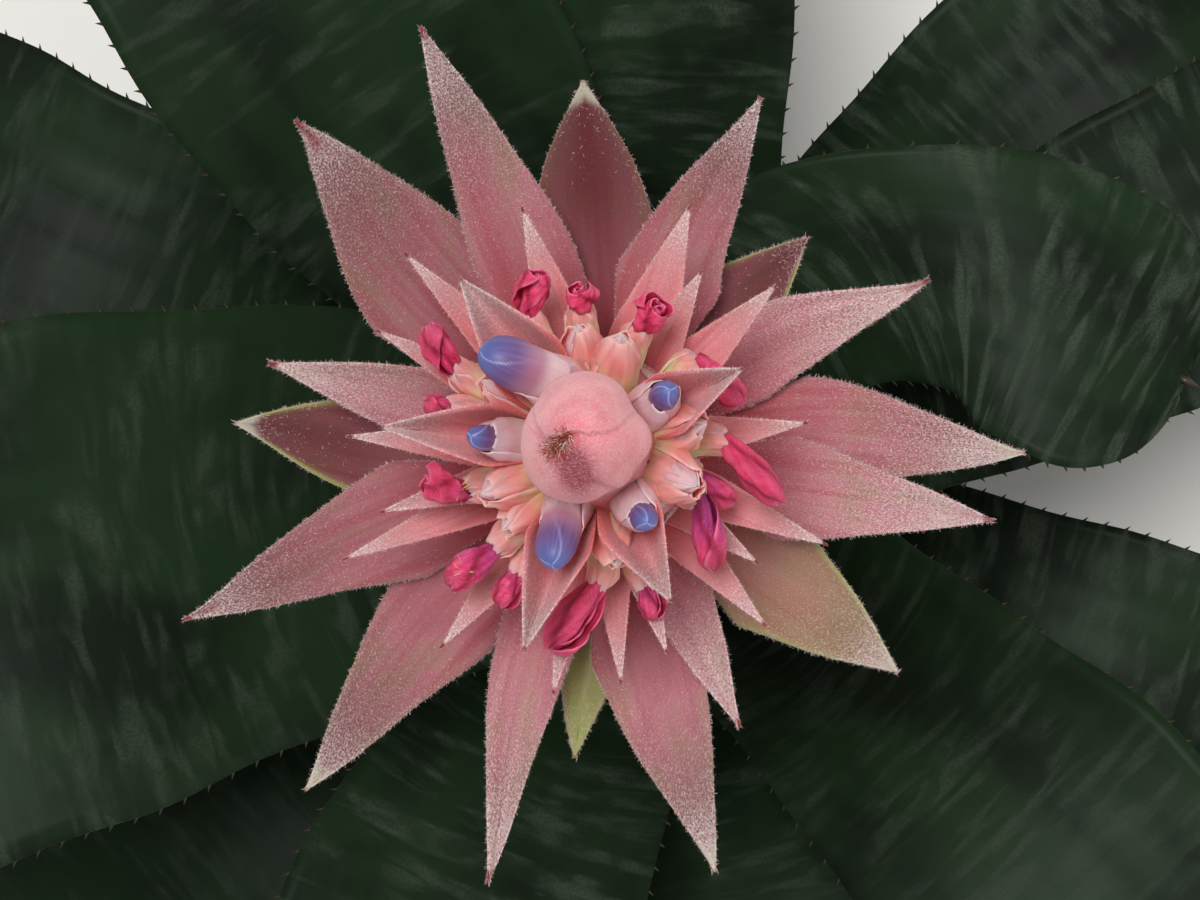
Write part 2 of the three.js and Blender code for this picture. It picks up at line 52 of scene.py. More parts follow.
# Sizes of the packed model, in millimetres, and angles in degrees.
GAP = 0.3
STEM_HEIGHT = 60
STEM_FOOT_RADIUS = 20
STEM_TOP_RADIUS = 8.5
LEAF_FIRST_HEIGHT = 5
LEAF_STEP = 3.9
LEAF_WRAP = 58
LEAF_CHANNEL = 3
LEAF_THICKNESS = 1.1
LEAF_FACET_SAG = 0.25
PROFILE_STEPS = 60
SCAPE_RADIUS = 5.5
SCAPE_TOP_RADIUS = 7
SCAPE_TOP = 253
BRACT_THICKNESS = 0.9
BRACT_FOOT_HEIGHT = 246
BRACT_LEVEL_STEP = 2.4
FLORAL_FULLNESS = 1.1
CROWN_CENTRE = (-0.6, 0.45)
CROWN_BASE = 303
CROWN_TOP = 318
BUD_ROOT = 2.6
SCAPE_BRACTS = 7
SCAPE_BRACT_HEIGHT, SCAPE_BRACT_STEP, SCAPE_BRACT_LENGTH = 74, 20, 46
GOLDEN_ANGLE = 137.5

# Sizes of the finer pieces, in millimetres. A cusp has four corners at its root and one at its point.
LEAF_RIM = 0.45
CUSP_CLEARANCE = (0.3, 0.3, 0.3, 0.3, 0.35)
BRACT_RIM = 0.3
CLASPING_THICKNESS = 0.5
SEPAL_THICKNESS, SEPAL_RIM = 0.32, 0.12
PETAL_THICKNESS = 0.2
SCAPE_BRACT_THICKNESS = 0.7
FRINGE_WIDTH, FELT_WIDTH, FELT_LENGTH = 0.05, 0.06, 0.6
STAMEN_WIDTH = 0.32
TUFT_WIDTH, TUFT_REACH, TUFT_SPREAD = 0.1, 1.9, 0.4
FELT_HAIRS, TUFT_HAIRS, STAMENS = 1300, 1500, 9

# How many cells each blade has along and across.
LEAF_CELLS, BRACT_CELLS, FLORAL_CELLS = (96, 24), (76, 18), (52, 16)
CLASPING_CELLS, SEPAL_CELLS, SCAPE_CELLS = (24, 10), (30, 14), (24, 16)
OUTER_ROLL_CELLS, INNER_ROLL_CELLS = (40, 50), (24, 22)

# The row of cells where hairs begin, and the seeds of the random draws.
FRINGE_FROM, FELT_FROM, FLORAL_FRINGE_FROM = 18, 25, 20
BRACT_SEED, FLORAL_SEED, STAMEN_SEED, TUFT_SEED = 17, 23, 31, 5

# Each piece has a number, which sets its pattern apart. These are the first of each kind.
NUMBER_STEP = 37.0
FLORAL, CORE, SEPAL, CLASPING, BUD, PETAL, SCAPE, STEM = 31, 60, 70, 80, 120, 140, 200, 230
ARC = 57  # Degrees to a radian, near enough for patterns.

# Degrees by which the sepals of each flower are turned past those of the one before.
SEPAL_TURN = 47

UP = np.array([0, 0, 1.0])

# The stage, in metres and degrees: each lamp's name, direction and spread. The lens is in millimetres.
FLOOR_HALF = 40.0
LAMPS = (("key", (-0.13, 0.18, 1.0), 22), ("side", (0.8, -0.5, 0.7), 60))
CAMERA_PLACE, CAMERA_TARGET = (0.0174, -0.0118, 0.6114), (-0.00075, 0.0003, 0.262)
CAMERA_LENS, CAMERA_SENSOR = 70, 36

# Leaves: azimuth, pitch and length of the erect foot, length of the arch, pitch at the tip, width, turn.
LEAVES = [
    (338, 50, 30, 230, -66.5, 66, 4), (98, 51, 31, 240, -70.1, 64, -6), (218, 52, 32, 245, -74, 66, 5),
    (45, 57, 38, 215, -50, 62, -8), (282, 60, 42, 215, -46, 66, 6), (158, 62, 46, 205, -44, 62, -5),
    (21, 62, 46, 200, -48, 64, 7), (318, 65, 54, 210, -36, 70, -5), (250, 66, 58, 205, -34, 70, -6),
    (92, 67, 64, 205, -30, 74, 2), (122, 68, 68, 205, -30, 76, 3), (58, 70, 84, 122, -74, 56, -87),
    (187, 70, 78, 215, -36, 92, 15),
]

# Outer bracts: azimuths of foot and tip, reach, width, level, lift of the tip, fullness of the sides. Then
# the looks: how frosted, how green along the edges, how maroon on the upper face, and how the tip ends.
# The frost and maroon of each bract also paint light and shade: thinner frost and more maroon darken the
# bracts on the left as painted shade, and thicker frost lightens some on the right as painted light.
OUTER_BRACTS = [
    (113, 113.5, 71, 15.5, 2, 2, 1.4, 0.5, 0, 0.25, "thread"),
    (94, 94, 59, 22.5, 0, -5, 1.7, 0.05, 0.12, 1, "fuzz"),
    (71, 66.5, 59, 16.5, 2, 0, 1.25, 0.42, 0, 0.22, "cusp"),
    (51, 48, 46, 16.5, 0, -7, 1.7, 0.05, 0.44, 0.8, "cusp"),
    (35, 28, 55, 14.5, 2, 1, 1.25, 0.8, 0, 0, "hook"),
    (6, 0, 63.5, 19, 1, -1, 1.3, 0.6, 0.1, 0.05, "fuzz"),
    (349, 350, 59.5, 16, 2, -1, 1.25, 0.7, 0, 0, "thread"),
    (323, 323, 56, 20.5, 0, -5, 1.45, 0.4, 0.6, 0, "fuzz"),
    (297, 296, 46, 11, 2, 1, 1.25, 0.75, 0, 0, "thread"),
    (281, 284.5, 65.5, 18.5, 1, 0, 1.25, 0.45, 0.1, 0.1, "fuzz"),
    (265, 263, 48, 12.5, -1, -9, 1.6, 0.05, 1, 0, "cusp"),
    (249, 254.5, 67.5, 12.5, 2, 0, 1.25, 0.6, 0, 0, "thread"),
    (223, 228, 69.5, 20, 1, -1, 1.25, 0.42, 0.15, 0.35, "fuzz"),
    (198, 201.5, 69, 18.5, 2, 0, 1.25, 0.42, 0, 0.35, "hook"),
    (180, 175, 59.5, 20, 0, -6, 1.5, 0.1, 0.44, 0.9, "fuzz"),
    (165, 165, 53.5, 13, 2, 1, 1.25, 0.7, 0, 0.1, "thread"),
    (138, 133, 70, 24.5, 1, 0, 1.5, 0.42, 0.1, 0.5, "hook"),
]

# Floral bracts: azimuth, reach, width, heights of root and tip. The last five each hold a tube like a boat,
# and their edges rise further.
FLORAL_BRACTS = [
    (135, 40.6, 7, 262, 274), (152, 37, 6.5, 265, 275), (108, 37, 8, 264, 275), (70, 38, 10, 262, 273),
    (60, 29.5, 8, 266, 277), (43, 35, 8, 263, 274), (7, 30, 6, 266, 277), (337, 35.5, 6.5, 262, 274),
    (324, 28, 6, 266, 276), (313, 35, 7, 263, 273), (288, 31, 6, 265, 275), (275, 34, 6, 263, 275),
    (259, 36, 6.5, 265, 275), (231, 37, 7, 263, 274), (203, 41, 6.5, 262, 273), (196, 33, 6, 266, 277),
    (177, 37, 7, 263, 275), (129, 30, 10.5, 279, 290), (27, 23, 8.6, 281, 292), (175, 30, 8.4, 280, 290),
    (251, 30, 9, 279, 291), (296, 24, 9, 281, 292),
]
BOATS = 5
BOAT_CUP = 11

# The core of the head: radius and height of its outline, from the foot up to the crown.
CORE_FOOT = SCAPE_TOP + GAP
CORE_OUTLINE = [(1, CORE_FOOT), (7, CORE_FOOT), (12, CORE_FOOT + 5), (13.5, CORE_FOOT + 14),
                (12, CORE_FOOT + 26), (10, CORE_FOOT + 38), (8.5, CROWN_BASE - GAP), (1, CROWN_BASE - GAP)]

# Small bracts that clasp the core, in rings: how many, first azimuth, heights of root and tip, how far the
# tip stands off, and how far each wraps to either side.
CLASPING_BRACTS = [(9, 12, 254.5, 270, 1.3, 27), (9, 32, 261, 278, 1, 26), (8, 5, 268, 284, 0.7, 27),
                   (8, 27, 277, 293.5, 0.2, 30), (7, 28, 286, 302.4, 0, 38)]

# Sepal tubes round the crown: azimuth, reach and height of the mouth, radius.
UPPER_TUBES = [
    (10, 13.2, 294, 2.5), (33, 11.2, 297, 2.9), (76, 13, 294, 2.8), (98, 14, 292, 2.4), (125, 11.2, 297, 3.2),
    (150, 15, 292, 2.3), (177, 14, 296, 2.7), (204, 14.3, 293, 2.6), (223, 14.8, 291, 2.3),
    (247, 10.7, 294, 2.9), (281, 14.6, 291, 2.3), (305, 11.6, 297, 2.9), (338, 13, 295, 3),
]

# Blue buds: the tube each stands in, length, radius, pitch, azimuth it points to, and a turn of its creases.
BUDS = [(1, 5, 2, 74, 33, 20), (4, 10, 3.5, 28, 160, 75), (6, 5, 1.8, 66, 177, 140),
        (9, 9.5, 2.9, 46, 261, 200), (11, 5, 1.9, 72, 305, 320)]

# Spent flowers: azimuth, reach, azimuth of the long axis, length, radius, height. Then the pitch that the
# roll takes, its turns, how far its colour has gone to purple, and how wide its end stands open.
SPENT_FLOWERS = [
    (113, 23.2, 70, 7, 2.6, 283, 20, 1.1, 0.2, 0.7), (97, 21, 95, 4.6, 2.1, 284, 50, 1.3, 0.1, 0.8),
    (68, 19.4, 40, 6.4, 2.4, 285, 48, 1.6, 0.2, 0.9), (148, 26.2, 120, 8, 2.3, 281, 15, 1.6, 0.2, 0.6),
    (165, 23.4, 170, 4.4, 1.8, 281, 10, 1.4, 0.4, 0.6), (195, 21.9, 170, 7, 2.6, 284, 25, 1.3, 0.4, 0.7),
    (223.5, 24.3, 222, 9, 2.3, 281, 0, 1.2, 0.6, 0.5), (237, 23.6, 240, 6.5, 2, 277, -12, 1.4, 0.4, 0.5),
    (262, 24, 230, 12.5, 3, 280, -12, 1.35, 0.15, 0.45), (29, 19.6, 315, 9.2, 2.1, 281, -12, 1.6, 0.1, 0.5),
    (352, 22, 312, 12.4, 2.1, 283, -12, 1.5, 0.0, 0.5), (341, 17.4, 325, 7, 1.9, 279, -12, 1.3, 0.6, 0.5),
    (322, 19.4, 279, 10.8, 2.4, 282, -12, 1.7, 0.9, 0.35), (288, 23, 285, 5.5, 1.9, 276, -12, 1.3, 0.5, 0.5),
]
# The two that still show their dry stamens, and how far along the roll those lie.
STAMENS_AT = ((5, -0.4), (6, 0.15))

# The crown bud in plan, in millimetres: how far its lobes reach at some azimuths, the tuft where the tips of
# its three hoods meet, and the edges that run out from there between the upper, right and left hoods.
CROWN_LOBES = [(-31, 7.4), (-12, 8.5), (3, 8.7), (31, 7.2), (60, 8.4), (90, 8.7), (120, 8.5), (143, 7.8),
               (180, 8.3), (228, 9.0), (270, 8.4), (297, 7.4), (312, 8.1), (329, 7.4)]
CROWN_GROWTH = 1.03
TUFT = (-3.3, -1.5)
UPPER_OVER_RIGHT = [(-1.0, 0.3), (1.1, 0.05), (3.2, 0.35), (4.75, 1.1), (6.0, 3.0), (8.2, 5.2)]
UPPER_OVER_LEFT = [(-4.2, -0.4), (-5.3, 0.9), (-6.4, 3.2), (-6.6, 5.0), (-7.0, 7.0)]
LEFT_OVER_RIGHT = [(-2.1, -2.3), (-0.2, -3.6), (1.1, -5.5), (3.7, -6.6), (5.4, -8.4)]


# Shapes, worked out in millimetres

def lerp(start, end, share):
    return start + (end - start) * share


def smooth(x):
    x = np.clip(x, 0, 1)
    return x * x * (3 - 2 * x)


def polar(azimuth, reach):
    """Points of the ground plane at an azimuth in degrees and a reach."""
    turn = np.radians(azimuth)
    return np.stack(np.broadcast_arrays(reach * np.cos(turn), reach * np.sin(turn)), -1)


def unit(vectors):
    return vectors / np.maximum(np.linalg.norm(vectors, axis=-1, keepdims=True), 1e-9)


def spot(azimuth, reach, height):
    """A point from its azimuth in degrees, its reach and its height."""
    return np.append(polar(azimuth, reach), height)


def raised(plan, height):
    """Points of the ground plane lifted to their heights."""
    return np.concatenate([plan, np.broadcast_to(height, plan.shape[:-1])[..., None]], -1)


def all_round(count):
    """Azimuths all the way round, as a row."""
    return np.linspace(0, 360, count, endpoint=False)[None, :]


def along_line(at, steps, line):
    """Points of a line, by the measure that its own points have in steps."""
    return np.stack([np.interp(at, steps, line[:, axis]) for axis in range(line.shape[1])], -1)


def about(middle, first, second, out, angle):
    """Points that lie out from the middle, at an angle between two directions."""
    return middle + first * (out * np.cos(angle))[..., None] + second * (out * np.sin(angle))[..., None]


def over(rows, columns):
    """Shares along a blade, as a column, and places across it from -1 to 1, as a row."""
    return np.linspace(0, 1, rows + 1)[:, None], np.linspace(-1, 1, columns + 1)[None, :]


def swell(seed, row, u, size):
    """A slow unevenness that differs from piece to piece."""
    waves = np.sin(5.1 * row + 1.7 * u + seed) + 0.6 * np.sin(11.3 * row - 2.9 * u + 2.3 * seed)
    return size * waves / 1.6


def facing(grid):
    """Unit normals of a grid of points, on the upper side of a blade."""
    along, across = np.gradient(grid, axis=0), np.gradient(grid, axis=1)
    normals = np.cross(along, across)
    normals[-1] = normals[-3]
    return unit(normals)


# Meshes

def piece(name, points, faces, facts, finish, slot):
    """A mesh object from points in millimetres, with what its material reads kept at the points."""
    mesh = bpy.data.meshes.new(name)
    mesh.from_pydata((np.asarray(points) * MM).tolist(), [], faces)
    for fact, values in facts.items():
        values = np.asarray(values, float)
        kind, key = ("FLOAT", "value") if values.ndim == 1 else ("FLOAT_VECTOR", "vector")
        mesh.attributes.new(fact, kind, "POINT").data.foreach_set(key, values.ravel())
    mesh.polygons.foreach_set("use_smooth", [True] * len(mesh.polygons))
    mesh.materials.append(finish)
    mesh.update()
    made = bpy.data.objects.new(name, mesh)
    bpy.context.scene.collection.objects.link(made)
    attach(made, "root")
    return made


def skin(grid, thickness, facts):
    """Points, faces and facts of a thin closed blade whose middle surface is the grid."""
    rows, columns = grid.shape[:2]
    offset = facing(grid) * np.broadcast_to(thickness, (rows, columns))[..., None] / 2
    points = np.concatenate([(grid + offset).reshape(-1, 3), (grid - offset).reshape(-1, 3)])
    upper = np.arange(rows * columns).reshape(rows, columns)
    lower = upper + rows * columns
    quads = [np.stack([upper[:-1, :-1], upper[1:, :-1], upper[1:, 1:], upper[:-1, 1:]], -1).reshape(-1, 4),
             np.stack([lower[:-1, :-1], lower[:-1, 1:], lower[1:, 1:], lower[1:, :-1]], -1).reshape(-1, 4)]
    rim = np.concatenate([upper[:, 0], upper[-1, 1:], upper[-2::-1, -1], upper[0, -2:0:-1]])
    ahead = np.roll(rim, -1)
    quads.append(np.stack([rim, rim + rows * columns, ahead + rows * columns, ahead], -1))
    spread = {}
    for fact, values in facts.items():
        wide = values.shape if np.ndim(values) == 3 else (rows, columns)
        flat = np.broadcast_to(values, wide).reshape(rows * columns, *wide[2:])
        spread[fact] = np.concatenate([flat, flat])
    return points, np.concatenate(quads), spread


def loft(rings, facts):
    """Points, faces and facts of a closed round body from its rings, with a cap at each end."""
    count, sides = rings.shape[:2]
    points = np.concatenate([rings.reshape(-1, 3), rings[0].mean(0)[None], rings[-1].mean(0)[None]])
    at = np.arange(count * sides).reshape(count, sides)
    ahead = np.roll(at, -1, axis=1)
    quads = np.stack([at[:-1], ahead[:-1], ahead[1:], at[1:]], -1).reshape(-1, 4).tolist()
    low, high = count * sides, count * sides + 1
    quads += [[low, b, a] for a, b in zip(at[0], ahead[0])]
    quads += [[high, a, b] for a, b in zip(at[-1], ahead[-1])]
    spread = {}
    for fact, values in facts.items():
        if np.ndim(values) == 3:
            flat = values.reshape(-1, 3)
            ends = np.stack([values[0].mean(0), values[-1].mean(0)])
        else:
            grid = np.broadcast_to(values, (count, sides))
            flat, ends = grid.reshape(-1), np.array([grid[0].mean(), grid[-1].mean()])
        spread[fact] = np.concatenate([flat, ends])
    return points, quads, spread


def join(parts):
    """Several sets of points, faces and facts as one."""
    points, faces, facts, start = [], [], {}, 0
    for its_points, its_faces, its_facts in parts:
        points.append(its_points)
        faces += [[corner + start for corner in face] for face in its_faces]
        for fact, values in its_facts.items():
            facts.setdefault(fact, []).append(values)
        start += len(its_points)
    facts = {fact: np.concatenate(values) for fact, values in facts.items()}
    return np.concatenate(points), faces, facts


def ruler(across, along, number):
    """Where each point lies on its blade, in millimetres; the third number sets pieces apart."""
    return np.stack(np.broadcast_arrays(across, along, NUMBER_STEP * number), -1)


def fibres(roots, ways, lengths, width, bend, dice):
    """Fine hairs as bent slivers: points, faces and facts."""
    count = len(roots)
    ways = unit(ways)
    aside = unit(np.cross(ways, unit(dice.normal(size=(count, 3)))))
    drift = unit(np.cross(ways, aside)) * (lengths * bend)[:, None]
    middle = roots + ways * (lengths * 0.55)[:, None] + drift * 0.35
    tips = roots + ways * lengths[:, None] + drift
    half = aside * width / 2
    points = np.stack([roots - half, roots + half, middle - half * 0.8, middle + half * 0.8, tips], 1)
    first = 5 * np.arange(count)[:, None]
    faces = np.concatenate([first + [0, 1, 3], first + [0, 3, 2], first + [2, 3, 4]])
    along = np.tile([0.0, 0.0, 0.55, 0.55, 1.0], count)
    tone = np.repeat(dice.random(count), 5)
    return points.reshape(-1, 3), faces.tolist(), {"along": along, "tone": tone}


# Finishes

def linear(code):
    """An sRGB hex colour as linear red, green, blue."""
    parts = [((code >> shift) & 255) / 255 for shift in (16, 8, 0)]
    return tuple(c / 12.92 if c <= 0.04045 else ((c + 0.055) / 1.055) ** 2.4 for c in parts)


def add(tree, kind, inputs=None, **settings):
    """Adds a shader node with its settings, and links or sets its inputs."""
    made = tree.nodes.new("ShaderNode" + kind)
    for key, value in settings.items():
        setattr(made, key, value)
    for key, value in (inputs or {}).items():
        socket = made.inputs[key]
        if isinstance(value, bpy.types.NodeSocket):
            tree.links.new(value, socket)
        elif socket.type == "RGBA":
            socket.default_value = (*tuple(value)[:3], 1)
        else:
            socket.default_value = value
    return made


class Finish:
    """A material under construction, with the steps that its patterns share."""

    def __init__(self, name, **shader):
        self.material = bpy.data.materials.new(name)
        self.material.use_nodes = True
        self.tree = self.material.node_tree
        self.shader = self.tree.nodes["Principled BSDF"]
        for key, value in shader.items():
            self.shader.inputs[key.replace("_", " ")].default_value = value

    def add(self, kind, inputs=None, **settings):
        return add(self.tree, kind, inputs, **settings)

    def fact(self, name, output="Fac"):
        return self.add("Attribute", attribute_name=name).outputs[output]

    def places(self, across, along, deep=1.0):
        """The blade's own millimetres, divided by a pattern's real size each way."""
        given = {0: self.fact("place", "Vector"), 1: (1 / across, 1 / along, 1 / deep)}
        return self.add("VectorMath", given, operation="MULTIPLY").outputs[0]

    def noise(self, across, along, detail=2.0, rough=0.5, twist=0.0, deep=1.0):
        given = {"Vector": self.places(across, along, deep), "Scale": 1.0, "Detail": detail,
                 "Roughness": rough, "Distortion": twist}
        return self.add("TexNoise", given).outputs["Fac"]

    def ramp(self, value, low, high, start=0.0, end=1.0):
        """The value between low and high, as start to end."""
        given = {"Value": value, "From Min": low, "From Max": high, "To Min": start, "To Max": end}
        return self.add("MapRange", given, interpolation_type="SMOOTHSTEP").outputs["Result"]

    def maths(self, what, first, second):
        return self.add("Math", {0: first, 1: second}, operation=what, use_clamp=True).outputs[0]

    def times(self, first, second):
        return self.maths("MULTIPLY", first, second)

    def blend(self, share, first, second):
        return self.add("Mix", {0: share, 6: first, 7: second}, data_type="RGBA").outputs[2]

    def coats(self, colour, *shares_and_colours):
        """A colour under coats, each given as its share and its colour."""
        for share, coat in shares_and_colours:
            colour = self.blend(share, colour, coat)
        return colour

    def bump(self, height, depth, strength=1.0):
        """Relief of a height from 0 to 1, depth millimetres deep."""
        given = {"Height": height, "Distance": depth * MM, "Strength": strength}
        if self.shader.inputs["Normal"].is_linked:
            given["Normal"] = self.shader.inputs["Normal"].links[0].from_socket
        self.tree.links.new(self.add("Bump", given).outputs[0], self.shader.inputs["Normal"])

    def colour(self, socket):
        self.tree.links.new(socket, self.shader.inputs["Base Color"])

    def roughness(self, value):
        self.tree.links.new(value, self.shader.inputs["Roughness"])


def leaf_finish(look):
    """Bromeliad leaf: a leathery waxed blade that grew cross-bands of silver scales."""
    # The wax gives a dull gloss; the scales scatter light and hide it where they lie thick.
    it = Finish("leaf_waxy_with_silver_scales", IOR=1.45, Roughness=0.5, Specular_IOR_Level=0.07)
    # The greens and the silver are darker than the living leaf: painted shade over the whole blade.
    green = it.blend(it.ramp(it.noise(26, 60, 3), 0.35, 0.65), look.leaf_green_and_shade, look.leaf_light_green_and_shade)
    # Veins run the length of the blade, 1 mm apart.
    veins = it.noise(1.0, 90, 1)
    # Silver streaks lie across the blade, 12 to 25 mm long and 1 to 2 mm wide, in clouds 30 to 50 mm wide.
    streaks = it.ramp(it.noise(24, 4.2, 3, 0.5, 0.5), 0.4, 0.66)
    broken = it.ramp(it.noise(9, 6, 2, 0.5), 0.34, 0.6)
    clouds = it.ramp(it.noise(40, 36, 3, 0.55, 0.8), 0.34, 0.56)
    banded = it.times(streaks, it.ramp(broken, 0, 1, 0.35, 1))
    banded = it.times(banded, it.ramp(clouds, 0, 1, 0.12, 1))
    # The scales are 0.2 mm wide; they are drawn 0.5 mm wide, to show.
    grains = it.ramp(it.noise(0.5, 0.8, 2, 0.7), 0.3, 0.65, 0.45, 1)
    scales = it.times(it.maths("MAXIMUM", banded, it.ramp(clouds, 0, 1, 0, 0.1)), grains)
    scales = it.times(scales, it.fact("silver"))
    it.colour(it.blend(scales, green, look.leaf_silver_and_shade))
    it.roughness(it.ramp(scales, 0, 1, 0.42, 0.72))
    it.bump(veins, 0.12, 0.15)
    it.bump(scales, 0.1, 0.4)
    return it.material


def spine_finish(look):
    """Leaf spines: dark horny teeth, glossy and paler at the point."""
    it = Finish("spine_horn", IOR=1.5, Roughness=0.4)
    it.colour(it.blend(it.fact("along"), look.leaf_green_and_shade, look.spine_brown))
    return it.material


def bract_finish(name, look, foot_and_shade, pink, dusk_and_shade, frost, flushed, tanned=0.0):
    """Bract: papery pink tissue under a felt of short white hairs."""
    # The felt scatters light, so there is no gloss, and light that grazes it brings up a pale bloom.
    it = Finish(name, IOR=1.4, Roughness=0.78, Sheen_Weight=0.22, Sheen_Roughness=0.45)
    row, side, green = it.fact("row"), it.fact("side"), it.fact("green")
    # Flushes of deeper red are 4 to 8 mm wide; the veins run 0.8 mm apart from foot to tip.
    patches, veins = it.noise(5, 13, 3, 0.55), it.noise(0.8, 60, 1)
    # Between the flushes the outer half dries tan.
    tan = it.times(it.ramp(patches, 0.56, 0.36, 0, tanned), it.ramp(row, 0.3, 0.65))
    # Folds from the bud leave paler and redder bands, 2.5 mm wide, along the blade.
    bands = it.noise(2.5, 70, 2)
    # The greenest bract keeps a cream midrib.
    rib = it.times(it.ramp(green, 0.5, 0.56), it.ramp(side, 0.0, 0.3, 0.85, 0))
    # The foot colour is partly the bract's own red, partly painted shade near the head where the parts crowd
    # over it.
    tissue = it.coats(it.blend(it.ramp(row, 0.15, 0.55), foot_and_shade, pink),
                      (it.ramp(patches, 0.4, 0.66, 0, flushed), look.bract_flush), (tan, look.bract_tan),
                      (it.ramp(bands, 0.5, 0.72, 0, 0.45), foot_and_shade),
                      (it.ramp(veins, 0.45, 0.75, 0, 0.35), look.bract_flush),
                      # Dusk over the outer half: dull dry skin, and painted shade on the thinly felted
                      # bracts.
                      (it.times(it.ramp(row, 0.5, 0.92, 0, 0.85), it.fact("worn")), dusk_and_shade),
                      (it.times(it.fact("maroon"), 0.94), look.bract_maroon), (green, look.bract_olive),
                      (rib, look.bract_rib), (it.fact("verge"), look.bract_verge))
    # The hairs of the felt are 0.05 mm thick; their tufts are drawn 0.2 mm wide, to show.
    tufts = it.noise(0.19, 0.42, 2, 0.8, 0.6)
    thick = it.times(it.fact("frost"), frost)
    low = it.ramp(thick, 0, 1, 0.56, 0.4)
    felt = it.times(it.ramp(tufts, low, it.maths("ADD", low, 0.15)), it.ramp(thick, 0, 0.8, 0.06, 0.84))
    it.colour(it.coats(tissue, (felt, look.bract_frost), (it.fact("pale"), look.bract_pale),
                       (it.fact("tip"), look.bract_tip)))
    it.bump(veins, 0.2, 0.4)
    it.bump(tufts, 0.26, 1.0)
    return it.material


def sepal_finish(look):
    """Sepal: a thick waxy scale that light passes through, cream at the foot, pink above, pale at the tip."""
    it = Finish("sepal_waxy", IOR=1.45, Roughness=0.55, Specular_IOR_Level=0.35, Subsurface_Weight=0.4,
                Subsurface_Scale=0.0025)
    row = it.fact("row")
    # Patches 2 mm wide, and veins 0.35 mm apart.
    patches, veins = it.noise(1.8, 5, 3), it.noise(0.35, 12, 1)
    it.colour(it.coats(it.blend(it.ramp(row, 0.55, 0.88), look.sepal_cream, look.sepal_pink),
                       (it.ramp(patches, 0.42, 0.68, 0, 0.55), look.sepal_flush),
                       (it.ramp(veins, 0.5, 0.8, 0, 0.25), look.sepal_flush),
                       (it.times(it.fact("pale"), 0.6), look.sepal_pale),
                       (it.ramp(row, 0.86, 1.0, 0, 0.25), look.sepal_edge),
                       (it.ramp(it.fact("side"), 0.86, 1, 0, 0.25), look.sepal_edge)))
    it.bump(veins, 0.12, 0.6)
    return it.material


def bud_finish(look):
    """Petal in bud: smooth, moist and half clear, blue towards the tip, with pale folds."""
    it = Finish("petal_blue_in_bud", IOR=1.45, Roughness=0.42, Specular_IOR_Level=0.4, Subsurface_Weight=0.35,
                Subsurface_Scale=0.002)
    row = it.fact("row")
    # Lengthwise streaks 0.5 mm apart.
    streaks = it.noise(0.5, 14, 2)
    it.colour(it.coats(look.bud_foot, (it.ramp(row, 0.22, 0.42), look.bud_pink),
                       (it.ramp(row, 0.38, 0.72), look.bud_lilac), (it.ramp(row, 0.7, 1.02), look.bud_blue),
                       (it.ramp(streaks, 0.45, 0.75, 0, 0.2), look.bud_light),
                       (it.ramp(it.fact("fold"), 0, 1, 0, 0.75), look.bud_light)))
    it.bump(streaks, 0.05, 0.5)
    return it.material


def spent_finish(look):
    """Withered petal: thin, limp and rolled up, with fine creases along the roll."""
    it = Finish("petal_withered", IOR=1.42, Roughness=0.4, Subsurface_Weight=0.25, Subsurface_Scale=0.0012)
    # Patches 2 to 3 mm wide, and creases 0.45 mm apart.
    patches, creases = it.noise(1.6, 3.2, 3, 0.6), it.noise(0.45, 5.5, 3, 0.6, 0.5)
    # The folds are painted deep red as shade, and the ridges between them painted pale as a highlight.
    fold = it.fact("fold")
    it.colour(it.coats(look.spent_magenta, (it.ramp(patches, 0.38, 0.66), look.spent_crimson),
                       (it.ramp(it.fact("age"), 0, 1, 0, 0.8), look.spent_purple),
                       (it.ramp(creases, 0.45, 0.7, 0, 0.45), look.spent_light_and_highlight),
                       (it.ramp(it.fact("edge"), 0, 1, 0, 0.85), look.spent_light_and_highlight),
                       (it.ramp(fold, 0.3, 0.04, 0, 0.28), look.spent_light_and_highlight),
                       (it.ramp(fold, 0.3, 0.95, 0, 0.8), look.spent_fold_shade)))
    it.roughness(it.ramp(creases, 0.3, 0.7, 0.34, 0.55))
    it.bump(creases, 0.3, 0.8)
    return it.material


def crown_finish(look):
    """Hoods of the youngest bracts: soft pink velvet, flushed mauve round the tuft."""
    it = Finish("hood_velvet", IOR=1.4, Roughness=0.75, Sheen_Weight=0.3, Sheen_Roughness=0.4,
                Subsurface_Weight=0.25, Subsurface_Scale=0.002)
    # Warmer patches are 4 mm wide.
    patches = it.noise(3.5, 4.5, 3, deep=4)
    # Hairs of the velvet, 0.05 mm thick, drawn 0.34 mm wide, to show.
    velvet = it.noise(0.34, 0.34, 3, 0.8, deep=0.34)
    it.colour(it.coats(look.crown_pink, (it.ramp(patches, 0.38, 0.66, 0, 0.7), look.crown_salmon),
                       (it.times(it.fact("rim"), 0.3), look.crown_rim),
                       (it.ramp(velvet, 0.52, 0.34, 0, 0.6), look.crown_salmon),
                       # Mauve: the hoods' own flush round the tuft, and painted shade in the valley, along
                       # the creases and on the lower side.
                       (it.fact("mauve"), look.crown_mauve_and_shade),
                       (it.times(it.ramp(velvet, 0.5, 0.62), 0.36), look.crown_velvet_and_highlight),
                       # Bloom is a painted highlight along the hood edges.
                       (it.times(it.fact("bloom"), 0.2), look.crown_velvet_and_highlight)))
    it.bump(velvet, 0.28, 1.0)
    return it.material


